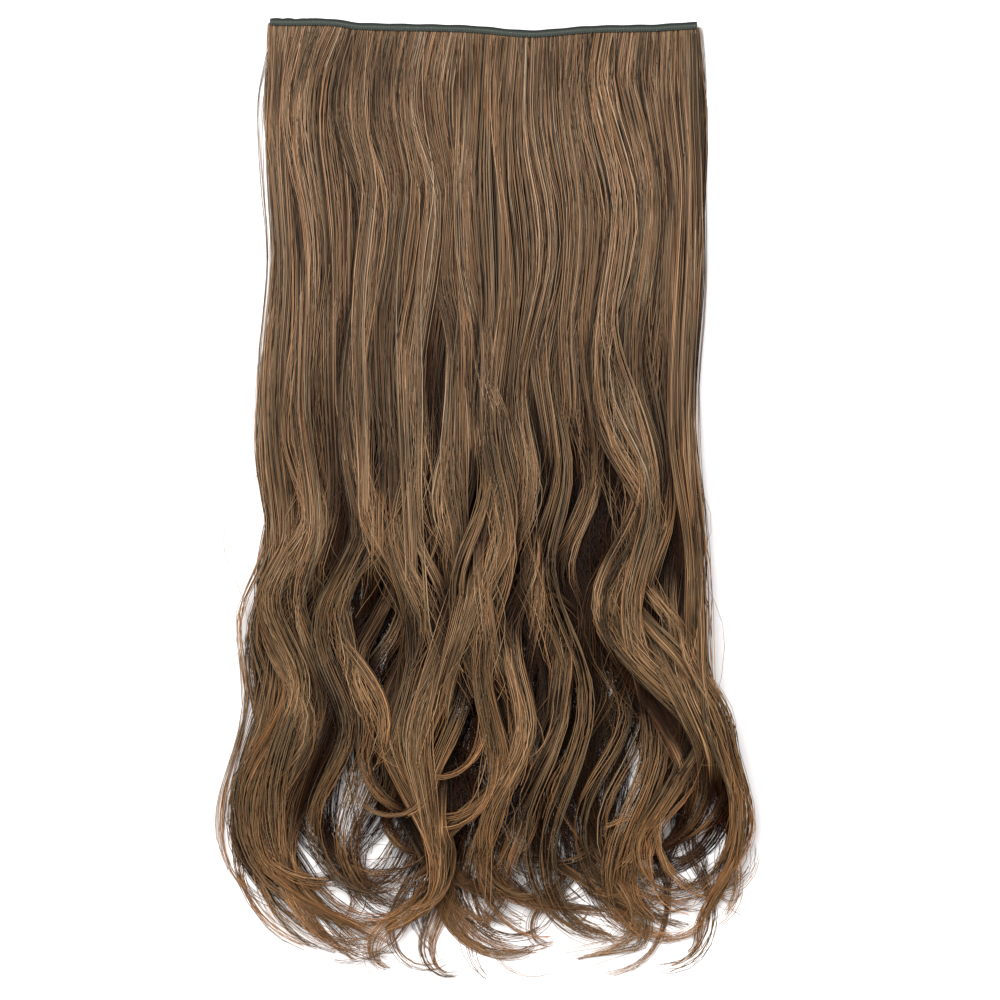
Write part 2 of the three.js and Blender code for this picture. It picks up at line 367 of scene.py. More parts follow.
@dataclass(frozen=True)
class ClipFinish:
    """Dark satin paint on sprung steel, rubbed lighter in places."""

    name: str = "clip_paint"
    paint: Colour = (0.022, 0.018, 0.016)
    rubbed: Colour = (0.075, 0.062, 0.053)
    patch_scale: float = 130.0
    patch_detail: float = 6.0
    patch_share: float = 0.7
    scratch_scale: tuple[float, float, float] = (300.0, 4000.0, 300.0)
    scratch_share: float = 0.3
    scratch_relief: float = 0.2
    scratch_depth: float = 0.1 * MM
    smoothest: float = 0.3
    rougher: float = 0.3
    metal: float = 0.4

    def material(self) -> bpy.types.Material:
        """Make the paint with rubbed patches and fine scratches.

        Returns:
            The material.
        """
        material, sheet = new_material(self.name, self.paint)
        where = sheet.add("ShaderNodeTexCoord", output="Object")
        patches = sheet.noise(where, self.patch_scale, self.patch_detail)
        stretch = sheet.add("ShaderNodeMapping", {}, {"Vector": where, "Scale": self.scratch_scale})
        scratch = sheet.noise(stretch, 1.0)
        wear = patches * self.patch_share + scratch * self.scratch_share
        dents = {"Strength": self.scratch_relief, "Distance": self.scratch_depth, "Height": scratch}
        close_material(
            sheet,
            {
                "Base Color": sheet.ramp([(0.45, self.paint), (0.75, self.rubbed)], wear),
                "Roughness": self.smoothest + patches * self.rougher,
                "Metallic": self.metal,
                "Normal": sheet.add("ShaderNodeBump", {}, dents),
            },
        )
        return material


@dataclass(frozen=True)
class FloorFinish:
    """Smooth white studio surface."""

    name: str = "white_surface"
    white: Colour = (0.9, 0.872, 0.866)
    roughness: float = 0.8
    gloss: float = 0.1

    def material(self) -> bpy.types.Material:
        """Make the matt white surface.

        Returns:
            The material.
        """
        material, sheet = new_material(self.name, self.white)
        close_material(
            sheet,
            {
                "Base Color": (*self.white, 1.0),
                "Roughness": self.roughness,
                "Specular IOR Level": self.gloss,
            },
        )
        return material


FRONT_FINISH = HairFinish(
    name="hair_front",
    shadow=(0.03, 0.017, 0.0095),
    ash=(0.145, 0.105, 0.066),
    brown=(0.216, 0.135, 0.075),
    gold=(0.318, 0.198, 0.112),
    pale=(0.465, 0.325, 0.21),
    painted_depth_shade=(0.08, 0.047, 0.025),
)
# The back layer is a darker copy of the front fibre: painted shade for the hair that lies under the front
# locks. Its lighter tip tint takes part of that shade off the loose tips.
SHADED_BACK_FINISH = HairFinish(
    name="hair_back",
    shadow=(0.025, 0.014, 0.0075),
    ash=(0.1, 0.067, 0.041),
    brown=(0.155, 0.092, 0.049),
    gold=(0.235, 0.138, 0.074),
    pale=(0.36, 0.23, 0.137),
    painted_depth_shade=(0.08, 0.047, 0.025),
    tip_tint=(1.44, 1.25, 0.98),
)


@dataclass(frozen=True)
class Stir:
    """How far a lock's strands stray from its own fall: mm for lean and crest, shares for the rest."""

    lean: float
    crest: float
    swing: float
    spread: float
    tip_share: float


class Layer(Enum):
    """The two layers of locks."""

    BACK = (
        "lock_b", 12, 5, 1.4, SHADED_BACK_FINISH,
        Stir(lean=7.0, crest=12.0, swing=0.3, spread=1.4, tip_share=0.7),
    )
    FRONT = (
        "lock_f", 16, 7, 1.2, FRONT_FINISH,
        Stir(lean=2.5, crest=5.0, swing=0.2, spread=1.0, tip_share=0.4),
    )

    def __init__(
        self, prefix: str, count: int, hairs: int, spread: float, finish: HairFinish, stir: Stir
    ) -> None:
        """Name the columns of the table above.

        Args:
            prefix: start of the names of its CAD nodes.
            count: how many locks it has.
            hairs: how many hairs a wisp has.
            spread: how many times as wide a lock is in the waves as at its root.
            finish: the fibre.
            stir: how far strands stray.
        """
        self.prefix = prefix
        self.count = count
        self.hairs = hairs
        self.spread = spread
        self.finish = finish
        self.stir = stir

    @property
    def pitch(self) -> float:
        """Distance between roots of neighbouring locks, in mm."""
        return TapeLine.width / self.count


@dataclass(frozen=True)
class TapeLine:
    """The tape's run seen from above, in mm.

    Its ends lift and it sags right of the middle, as the CAD tape does; in between it lies lower
    by slump, from a step near its left end on.
    """

    width: float = 274.0
    height: float = 5.0
    tilt: float = -1.2
    lift: float = 1.8
    sag: float = 3.2
    sag_at: float = 30.0
    sag_spread: float = 28.0
    clip_drop: float = 5.0
    slump: float = 1.3
    step_start: float = -98.0
    step_end: float = -78.0
    slump_end: float = 105.0
    crook: float = 0.9
    crook_at: float = -103.0
    crook_spread: float = 16.0

    def sway(self, x: np.ndarray | float) -> np.ndarray:
        """Find how far the CAD tape's middle line lies off its straight line.

        Args:
            x: places along the tape.

        Returns:
            An offset for each place, + upwards.
        """
        x = np.asarray(x, float)
        across = x / (self.width / 2)
        sag = self.sag * np.exp(-(((x - self.sag_at) / self.sag_spread) ** 2))
        return self.tilt * across + self.lift * across**2 - sag

    def settled(self, x: np.ndarray | float) -> np.ndarray:
        """Find how far the cloth has settled away from the CAD tape.

        Args:
            x: places along the tape.

        Returns:
            An offset for each place, + upwards.
        """
        x = np.asarray(x, float)
        crook = self.crook * np.exp(-(((x - self.crook_at) / self.crook_spread) ** 2))
        lower = smoothstep(x, self.step_start, self.step_end)
        raised = smoothstep(x, self.slump_end, self.width / 2)
        return crook - self.slump * lower * (1.0 - raised)

    def y(self, x: np.ndarray | float) -> np.ndarray:
        """Y of the middle line at x."""
        return self.clip_drop + self.sway(x) - self.sway(0.0) + self.settled(x)


TAPE_LINE = TapeLine()


@dataclass(frozen=True)
class LockRow:
    """How one lock falls, in mm and degrees.

    bow is the sideways sway of the straight part and lean its drift; swing, wave and crest
    are the half width, length and depth of a right-hand crest of the waves; the tip curl
    starts at depth drop and turns by turn, + to the right, at radius.
    """

    bow: float
    lean: float
    swing: float
    wave: float
    crest: float
    drop: float
    turn: float
    radius: float


ROWS: dict[Layer, list[LockRow]] = {
    Layer.BACK: [
        LockRow(3, -20, 12, 128, 318, 515, 80, 66),
        LockRow(3, -24, 13, 126, 316, 545, 85, 60),
        LockRow(4, -20, 15, 126, 322, 560, 85, 52),
        LockRow(4, 10, 13, 124, 372, 560, -90, 34),
        LockRow(4, -10, 14, 132, 378, 555, 80, 42),
        LockRow(3, -6, 13, 136, 380, 555, 105, 36),
        LockRow(3, -10, 13, 140, 392, 535, 125, 38),
        LockRow(3, -10, 14, 140, 410, 520, 105, 44),
        LockRow(4, 20, 15, 136, 428, 530, 100, 44),
        LockRow(4, 32, 17, 140, 440, 530, -110, 36),
        LockRow(3, 34, 14, 130, 446, 535, -105, 36),
        LockRow(2, 26, 9, 190, 509, 525, -80, 50),
    ],
    Layer.FRONT: [
        LockRow(4, -20, 11, 128, 320, 492, 75, 68),
        LockRow(4, -22, 14, 128, 318, 520, 75, 72),
        LockRow(5, -22, 15, 130, 318, 525, 90, 54),
        LockRow(5, -4, 12, 128, 320, 485, 150, 40),
        LockRow(6, 4, 13, 126, 388, 540, -95, 32),
        LockRow(6, 4, 12, 140, 390, 555, -80, 32),
        LockRow(5, -16, 12, 170, 368, 515, -50, 46),
        LockRow(3, -20, 12, 170, 376, 500, -80, 40),
        LockRow(3, -12, 8, 150, 464, 482, -100, 38),
        LockRow(4, -14, 12, 165, 450, 520, 80, 60),
        LockRow(3, -16, 15, 200, 415, 535, 85, 60),
        LockRow(4, 42, 17, 148, 458, 535, 130, 38),
        LockRow(5, 50, 22, 150, 450, 522, 130, 34),
        LockRow(5, 28, 20, 180, 412, 500, -40, 60),
        LockRow(3, 32, 10, 150, 455, 500, -80, 50),
        LockRow(2, 26, 8, 190, 509, 520, -50, 70),
    ],
}


class Drift(NamedTuple):
    """How far hair from one root has drifted to the right at four depths, in mm."""

    root: float
    at_30: float
    at_60: float
    at_100: float
    at_140: float


DRIFTS = (
    Drift(-137, 1, 0, 3, 5),
    Drift(-107, -7, -9, -6, -3),
    Drift(-92, -8, -10, -6, -4),
    Drift(-79, -1, -1, 5, 1),
    Drift(-41, -1, 0, 6, 3),
    Drift(-20, -3, -3, 3, 2),
    Drift(-5, 1, -2, -8, -7),
    Drift(9, 0, 1, 1, -1),
    Drift(19, 0, -2, -6, -6),
    Drift(31, 2, 3, 7, 6),
    Drift(64, -1, 1, 5, 4),
    Drift(82, 0, 7, 11, 9),
    Drift(108, 1, 5, 8, 6),
    Drift(121, 0, 0, 3, 3),
    Drift(137, 3, 3, 3, 2),
)


class Pull(NamedTuple):
    """How far the hair of one edge is drawn in round a depth, in mm.

    Hair from the outer root takes all of it, and hair from the inner root none.
    """

    inner: float
    outer: float
    by: float
    at: float
    length: float


PULLS = (
    Pull(inner=90, outer=137, by=-13, at=350, length=90),
    Pull(inner=-95, outer=-137, by=13, at=392, length=42),
)


def curve_through(at: np.ndarray, knots: np.ndarray, values: np.ndarray) -> np.ndarray:
    """Smooth curve through values at knots.

    Args:
        at: places to read the curve at.
        knots: rising places of the values.
        values: what the curve runs through.

    Returns:
        A value for each place, the end values beyond the ends.
    """
    slope = np.gradient(values, knots)
    at = np.clip(at, knots[0], knots[-1])
    k = np.clip(np.searchsorted(knots, at, side="right") - 1, 0, len(knots) - 2)
    span = knots[k + 1] - knots[k]
    share = (at - knots[k]) / span
    straight = blend(values[k], values[k + 1], smoothstep(share, 0.0, 1.0))
    start = share * (1.0 - share) ** 2 * span * slope[k]
    end = share**2 * (1.0 - share) * span * slope[k + 1]
    return straight + start - end


@dataclass(frozen=True)
class HairFall:
    """Rules that all hair falls by, in mm."""

    root_tuck: float = 0.9
    bow_length: float = 185.0
    lean_start: float = 170.0
    wave_start: float = 215.0
    wave_full: float = 360.0
    curl_loose: float = 0.6
    curl_tight: float = 1.4
    tip_taper: float = 140.0
    tip_share: float = 0.12
    step: float = 2.0
    drift_depths: tuple[float, ...] = (0.0, 30.0, 60.0, 100.0, 140.0, 200.0, 260.0)
    ripple: float = 1.2
    ripple_length: float = 150.0
    ripple_turn: float = 22.0
    ripple_full: float = 90.0
    bands_start: float = 110.0
    bands_full: float = 260.0
    held: float = 4.0
    free: float = 40.0

    def top(self, root: float) -> float:
        """Y where hair leaves the tape at x."""
        return float(TAPE_LINE.y(root)) - TAPE_LINE.height / 2 + self.root_tuck

    def path(self, row: LockRow, root: float) -> np.ndarray:
        """Run a middle line from the tape to the tip.

        Args:
            row: how the hair falls.
            root: X of its root.

        Returns:
            Points seen from above, one row each.
        """
        depth = np.arange(0.0, row.drop, self.step)
        waving = self.waving(depth)
        bow = row.bow * np.sin(math.tau * depth / self.bow_length) * (1.0 - waving)
        lean = row.lean * smoothstep(depth, self.lean_start, row.drop)
        swing = row.swing * waving * np.cos(math.tau * (depth - row.crest) / row.wave)
        fall = np.column_stack([root - bow + lean + swing, self.top(root) - depth])
        return self.curled(fall, row.turn, row.radius)

    def waving(self, run: np.ndarray) -> np.ndarray:
        """Share of the full waves at lengths from the root."""
        return smoothstep(run, self.wave_start, self.wave_full)

    def banded(self, run: np.ndarray) -> np.ndarray:
        """Share of the full bands of painted sheen at lengths from the root."""
        return smoothstep(run, self.bands_start, self.bands_full)

    def freed(self, run: np.ndarray) -> np.ndarray:
        """Share by which hair has left the tape's own height at lengths from the root."""
        return smoothstep(run, self.held, self.free)

    def curled(self, fall: np.ndarray, turn: float, radius: float, tail: float = 0.0) -> np.ndarray:
        """Carry a line on into the curl of its tip.

        Args:
            fall: the line so far.
            turn: the curl's turn in degrees, + to the right.
            radius: the curl's mean radius.
            tail: straight length after the curl.

        Returns:
            The whole line.
        """
        angle = math.radians(turn)
        steps = max(1, math.ceil(abs(angle) * radius / self.step))
        share = (np.arange(steps) + 0.5) / steps
        bend = angle / steps * blend(self.curl_loose, self.curl_tight, share)
        bend = np.concatenate([bend, np.zeros(round(tail / self.step))])
        last = fall[-1] - fall[-2]
        heading = math.atan2(last[0], -last[1]) + np.cumsum(bend)
        ahead = np.column_stack([np.sin(heading), -np.cos(heading)]) * self.step
        return np.vstack([fall, fall[-1] + np.cumsum(ahead, axis=0)])

    def flowed(self, path: np.ndarray) -> np.ndarray:
        """Add the drift and the slow ripple that neighbouring hair shares.

        Args:
            path: a line from the tape to the tip.

        Returns:
            The line with both; the drift fades out where the waves begin.
        """
        run = runs_of(path)
        root = path[0, 0]
        table = np.array(DRIFTS)
        seen = [np.interp(root, table[:, 0], column) for column in table[:, 1:].T]
        drift = curve_through(run, np.array(self.drift_depths), np.array([0.0, *seen, 0.0, 0.0]))
        ripple = self.ripple * np.sin(math.tau * run / self.ripple_length + root / self.ripple_turn)
        drift += ripple * smoothstep(run, 0.0, self.ripple_full)
        return path + np.column_stack([drift, np.zeros(len(path))])

    def drawn_in(self, path: np.ndarray) -> np.ndarray:
        """Draw hair near the edges in.

        Args:
            path: a line from the tape to the tip.

        Returns:
            The line, moved sideways by the pulls that reach its root.
        """
        run = runs_of(path)
        moved = np.zeros(len(path))
        for pull in PULLS:
            near = smoothstep(path[0, 0], pull.inner, pull.outer)
            moved += pull.by * near * np.exp(-(((run - pull.at) / pull.length) ** 2))
        return path + np.column_stack([moved, np.zeros(len(path))])


FALL = HairFall()


def runs_of(path: np.ndarray) -> np.ndarray:
    """Length along a path at each of its points."""
    return np.concatenate([[0.0], np.cumsum(np.linalg.norm(np.diff(path, axis=0), axis=1))])


def sides_of(path: np.ndarray) -> np.ndarray:
    """Find what lies to the right of a path that is walked downwards.

    Args:
        path: points seen from above.

    Returns:
        A unit vector for each point.
    """
    along = np.gradient(path, axis=0)
    along /= np.linalg.norm(along, axis=1)[:, None]
    return np.column_stack([-along[:, 1], along[:, 0]])


def refined(line: np.ndarray, step: float) -> np.ndarray:
    """Walk a line at even steps.

    Args:
        line: its points, one row each.
        step: the length of a step.

    Returns:
        A point for each step.
    """
    run = runs_of(line)
    at = np.arange(0.0, run[-1], step)
    return np.column_stack([np.interp(at, run, column) for column in line.T])


def spaced_by_turn(
    path: np.ndarray, count: int, length_each: float = 36.0, turn_each: float = 0.3
) -> np.ndarray:
    """Pick points of a path, closer together where it bends.

    Args:
        path: points, one row each.
        count: how many to pick.
        length_each: straight length that counts as one step, in mm.
        turn_each: turn that counts as one step, in radians.

    Returns:
        Row numbers, as floats, from the first to the last.
    """
    steps = np.diff(path, axis=0)
    heading = np.unwrap(np.arctan2(steps[:, 1], steps[:, 0]))
    turn = np.concatenate([np.abs(np.diff(heading)), [0.0]])
    weight = np.linalg.norm(steps, axis=1) / length_each + turn / turn_each
    total = np.concatenate([[0.0], np.cumsum(weight)])
    return np.interp(np.linspace(0.0, total[-1], count), total, np.arange(len(path)))


@dataclass
class HairLines:
    """Lines of hairs before they get their thickness."""

    points: list[np.ndarray] = field(default_factory=list)
    tones: list[np.ndarray] = field(default_factory=list)
    radii: list[np.ndarray] = field(default_factory=list)

    def add(self, points: np.ndarray, tone: np.ndarray, radius: np.ndarray) -> None:
        """Add one hair.

        Args:
            points: its line in mm, from root to tip.
            tone: its place on the finish's colours at each point, 0 dark to 1 pale.
            radius: its radius in mm at each point.
        """
        self.points.append(points)
        self.tones.append(tone)
        self.radii.append(radius)

    def mesh(self, name: str, canopy: "Canopy") -> bpy.types.Mesh:
        """Make a mesh of edges with the tone, radius, openness (painted shade) and place along each hair.

        Args:
            name: the mesh's name.
            canopy: the top surface of all the hair.

        Returns:
            The mesh, in metres.
        """
        counts = np.array([len(p) for p in self.points])
        first = np.concatenate([[0], np.cumsum(counts)])
        total = int(first[-1])
        starts = np.concatenate([np.arange(a, b - 1) for a, b in zip(first[:-1], first[1:])])
        runs = [runs_of(p) for p in self.points]
        mesh = bpy.data.meshes.new(name)
        mesh.vertices.add(total)
        mesh.vertices.foreach_set("co", (np.concatenate(self.points) * MM).astype(np.float32).ravel())
        mesh.edges.add(len(starts))
        mesh.edges.foreach_set("vertices", np.column_stack([starts, starts + 1]).astype(np.int32).ravel())
        values = {
            "tone": np.concatenate(self.tones),
            "hair": np.repeat((np.arange(len(counts)) + 0.5) / len(counts), counts),
            "lane": np.repeat(1.0 / len(counts), total),
            "along": np.concatenate([run / run[-1] for run in runs]),
            # Painted shade: how open each point lies under the hair above it.
            "open": canopy.openness(np.concatenate(self.points)),
            "radius": np.concatenate(self.radii) * MM,
        }
        for attribute, numbers in values.items():
            made = mesh.attributes.new(attribute, "FLOAT", "POINT")
            made.data.foreach_set("value", np.asarray(numbers, np.float32))
        return mesh


def evened(values: np.ndarray, reach: int) -> np.ndarray:
    """Running mean over a number of points to each side."""
    padded = np.pad(values, reach, mode="edge")
    return np.convolve(padded, np.ones(2 * reach + 1) / (2 * reach + 1), mode="valid")


class Canopy:
    """All the hair sorted into the cells of a square grid, in mm, which tells how deep a hair lies
    and so how dark its painted shade is.

    A cell's top is the height that upper_share of its points stay below. Tops are spread and evened
    over the cells around, and sink where those hold fewer than full_cell points each. A point is open
    down to near below the top, and closed from far on. Each level is a height with its cell's number
    times level_span added, so that one sorted list holds all cells.
    """

    cell = 3.0
    origin = (-220.0, -680.0)
    size = (147, 240)
    upper_share = 0.75
    full_cell = 9.0
    spread = 3
    edge_spread = 5
    edge_open = 0.45
    edge_deep = 0.95
    near = 1.0
    far = 8.0
    tips_start = 510.0
    tips_full = 575.0
    tips_open = 0.8
    layer_shade = 0.085
    level_span = 1000.0

    def __init__(self, groups: list[HairLines]) -> None:
        """Sort the hair and find the top of each cell.

        Args:
            groups: all the hair.
        """
        points = np.vstack([refined(line, self.cell) for lines in groups for line in lines.points])
        cells = self.cells_of(points)
        self.levels = np.sort(cells * self.level_span + points[:, 2])
        total = self.size[0] * self.size[1]
        self.ends = np.searchsorted(self.levels, (np.arange(total) + 1) * self.level_span)
        count = np.bincount(cells, minlength=total)
        upper = self.ends - 1 - ((1.0 - self.upper_share) * (count - 1)).astype(int)
        upper_height = self.levels[np.maximum(upper, 0)] % self.level_span
        top = np.where(count > 0, upper_height, 0.0).reshape(self.size)
        covered = np.minimum(count / self.full_cell, 1.0).reshape(self.size)
        for axis in (0, 1):
            covered = np.apply_along_axis(evened, axis, covered, self.edge_spread)
            shifts = range(-self.spread, self.spread + 1)
            top = np.max([np.roll(top, shift, axis) for shift in shifts], axis=0)
        for axis in (0, 1):
            top = np.apply_along_axis(evened, axis, top, self.spread)
        self.top = (top * smoothstep(covered, self.edge_open, self.edge_deep)).ravel()

    def cells_of(self, points: np.ndarray) -> np.ndarray:
        """Find the grid cells of points.

        Args:
            points: places on hairs.

        Returns:
            The number of the cell that each point is in.
        """
        column, line = (
            np.clip((points[:, axis] - self.origin[axis]) / self.cell, 0, self.size[axis] - 1).astype(int)
            for axis in (0, 1)
        )
        return column * self.size[1] + line

    def openness(self, points: np.ndarray) -> np.ndarray:
        """Find how open points lie, which sets how dark their painted shade is.

        Args:
            points: places on hairs.

        Returns:
            From 0 deep under hair to 1 on top, less by a share for each hair above; the loose
            tips let more light in.
        """
        cells = self.cells_of(points)
        closed = 1.0 - self.tips_open * smoothstep(-points[:, 1], self.tips_start, self.tips_full)
        wide = 1.0 - closed * smoothstep(self.top[cells] - points[:, 2], self.near, self.far)
        levels = cells * self.level_span + points[:, 2]
        above = self.ends[cells] - np.searchsorted(self.levels, levels, side="right")
        return wide * np.exp(-self.layer_shade * above * closed)


def settle(obj: bpy.types.Object, modifier: bpy.types.Modifier) -> bpy.types.Object:
    """Turn an object's evaluated result into its plain mesh.

    Args:
        obj: the object.
        modifier: the modifier that made it, which is removed.

    Returns:
        The same object.
    """
    graph = bpy.context.evaluated_depsgraph_get()
    made = bpy.data.meshes.new_from_object(obj.evaluated_get(graph), depsgraph=graph)
    obj.modifiers.remove(modifier)
    lines = obj.data
    obj.data = made
    bpy.data.meshes.remove(lines)
    made.name = obj.name
    return obj


class NodeTool:
    """A Geometry Nodes tree that turns a mesh of edges into a finished piece."""

    def __init__(self, name: str, inputs: dict[str, str]) -> None:
        """Start the tree.

        Args:
            name: the tree's name.
            inputs: names and socket types of its inputs after the lines.
        """
        self.tree = bpy.data.node_groups.new(name, "GeometryNodeTree")
        face = self.tree.interface
        face.new_socket("Lines", in_out="INPUT", socket_type="NodeSocketGeometry")
        for label, kind in inputs.items():
            face.new_socket(label, in_out="INPUT", socket_type=kind)
        face.new_socket("Piece", in_out="OUTPUT", socket_type="NodeSocketGeometry")
        self.sheet = NodeSheet(self.tree)
        self.group = self.sheet.add("NodeGroupInput").socket.node

    def given(self, name: str) -> Value:
        """One of the tree's inputs."""
        return Value(self.sheet, self.group.outputs[name])

    def close(self, geometry: Value, material: str) -> None:
        """End the tree in a smooth, real mesh with its material.

        Args:
            geometry: what the tree has made.
            material: the name of the material input.
        """
        smooth = self.sheet.add("GeometryNodeSetShadeSmooth", {}, {"Geometry": geometry})
        real = self.sheet.add("GeometryNodeRealizeInstances", {}, {"Geometry": smooth})
        dressed = self.sheet.add(
            "GeometryNodeSetMaterial", {}, {"Geometry": real, "Material": self.given(material)}
        )
        self.sheet.add("NodeGroupOutput", {}, {"Piece": dressed})

    def make(self, name: str, lines: bpy.types.Mesh, inputs: dict[str, object]) -> bpy.types.Object:
        """Run the tree on a mesh of edges.

        Args:
            name: the piece's name.
            lines: the edges.
            inputs: a value for each input by name.

        Returns:
            The piece, as one plain mesh.
        """
        obj = bpy.data.objects.new(name, lines)
        bpy.context.scene.collection.objects.link(obj)
        modifier = obj.modifiers.new(name, "NODES")
        modifier.node_group = self.tree
        for item in self.tree.interface.items_tree:
            if item.in_out == "INPUT" and item.name in inputs:
                modifier[item.identifier] = inputs[item.name]
        return settle(obj, modifier)


class HairSweep(NodeTool):
    """Geometry Nodes that give hair lines their thickness, and a bake map with a lane for each hair."""

    sides = 3
    lane_middle = 0.33

    def __init__(self) -> None:
        """Write the tree: lines become curves, and curves become closed thin tubes."""
        super().__init__("hair_sweep", {"Sides": "NodeSocketInt", "Fibre": "NodeSocketMaterial"})
        sheet = self.sheet
        curves = sheet.add("GeometryNodeMeshToCurve", {}, {"Mesh": self.given("Lines")})
        ring = sheet.add(
            "GeometryNodeCurvePrimitiveCircle", {}, {"Resolution": self.given("Sides"), "Radius": 1.0}
        )
        place = sheet.add("GeometryNodeSplineParameter", output="Factor")
        ring = sheet.add(
            "GeometryNodeStoreNamedAttribute",
            {"data_type": "FLOAT", "domain": "POINT"},
            {"Geometry": ring, "Name": "round", "Value": place},
        )
        tubes = sheet.add(
            "GeometryNodeCurveToMesh",
            {},
            {"Curve": curves, "Profile Curve": ring, "Scale": self.named("radius"), "Fill Caps": True},
        )
        column = self.named("hair") + (self.named("round") - self.lane_middle) * self.named("lane")
        spot = sheet.add("ShaderNodeCombineXYZ", {}, {"X": column, "Y": self.named("along")})
        mapped = sheet.add(
            "GeometryNodeStoreNamedAttribute",
            {"data_type": "FLOAT2", "domain": "CORNER"},
            {"Geometry": tubes, "Name": "OFBake", "Value": spot},
        )
        self.close(mapped, "Fibre")

    def named(self, name: str) -> Value:
        """Read a point's own number by name."""
        return self.sheet.add("GeometryNodeInputNamedAttribute", {"data_type": "FLOAT"}, {"Name": name})


@dataclass
class HairPiece:
    """Hairs that become one piece of the scene; node is the CAD node that they stand for."""

    name: str
    lines: HairLines
    layer: Layer
    node: str = ""

    def build(self, sweep: HairSweep, canopy: Canopy, material: bpy.types.Material) -> bpy.types.Object:
        """Make the piece.

        Args:
            sweep: gives the hairs their thickness.
            canopy: the top surface of all the hair.
            material: the fibre.

        Returns:
            The piece.
        """
        mesh = self.lines.mesh(self.name + "_lines", canopy)
        obj = sweep.make(self.name, mesh, {"Sides": sweep.sides, "Fibre": material})
        if self.node:
            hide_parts(self.node)
        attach(obj, BODY)
        return obj


class Heights:
    """Heights of the CAD solids under and over a place, in mm, found from far above and below."""

    far = 500.0 * MM

    def __init__(self, nodes: list[bpy.types.Object]) -> None:
        """Index the triangles of some nodes.

        Args:
            nodes: CAD objects.
        """
        corners: list[Vector] = []
        faces: list[tuple[int, ...]] = []
        for node in nodes:
            base = len(corners)
            corners.extend(v.co.copy() for v in node.data.vertices)
            faces.extend(tuple(base + i for i in p.vertices) for p in node.data.polygons)
        self.tree = BVHTree.FromPolygons(corners, faces)

    def between(self, x: float, y: float) -> tuple[float, float] | None:
        """Find the surfaces at a place.

        Args:
            x: the place's X.
            y: its Y.

        Returns:
            The lowest and highest surface, or None off the solids.
        """
        high = self.tree.ray_cast(Vector((x * MM, y * MM, self.far)), Vector((0.0, 0.0, -1.0)))[0]
        if high is None:
            return None
        low = self.tree.ray_cast(Vector((x * MM, y * MM, -self.far)), Vector((0.0, 0.0, 1.0)))[0]
        return low.z / MM, high.z / MM

    def along(self, path: np.ndarray) -> tuple[np.ndarray, np.ndarray]:
        """Heights along a path.

        Args:
            path: points seen from above.

        Returns:
            The lowest and highest surface at each point, carried over places off the solids.
        """
        found = [self.between(x, y) for x, y in path]
        known = [i for i, pair in enumerate(found) if pair is not None]
        places = np.arange(len(path))
        low = np.interp(places, known, [found[i][0] for i in known])
        high = np.interp(places, known, [found[i][1] for i in known])
        return low, high

    def tops(self, path: np.ndarray, floor: float, reach: int) -> np.ndarray:
        """Evened height of the top surface along a path.

        Args:
            path: points seen from above.
            floor: height that counts off the solids.
            reach: points to each side that the height is evened over.

        Returns:
            A height for each point.
        """
        found = np.array([(self.between(x, y) or (floor, floor))[1] for x, y in path])
        return evened(found, reach)


@dataclass(frozen=True)
class Wander:
    """A hair's own loose sway, in mm: a long wave and a short one, none at the root."""

    long_waves: Point = (150.0, 320.0)
    short_waves: Point = (60.0, 110.0)
    long_share: float = 0.75
    short_share: float = 0.4
    start: float = 30.0

    def draw(
        self, dice: np.random.Generator, run: np.ndarray, reach: np.ndarray | float
    ) -> np.ndarray:
        """Draw one hair's sway.

        Args:
            dice: seeded random numbers.
            run: lengths from the root.
            reach: how far it sways.

        Returns:
            An offset for each length.
        """
        long, short = (
            np.sin(math.tau * run / dice.uniform(*waves) + dice.uniform(0.0, math.tau))
            for waves in (self.long_waves, self.short_waves)
        )
        both = long * self.long_share + short * self.short_share
        return both * reach * smoothstep(run, 0.0, self.start)


WANDER = Wander()


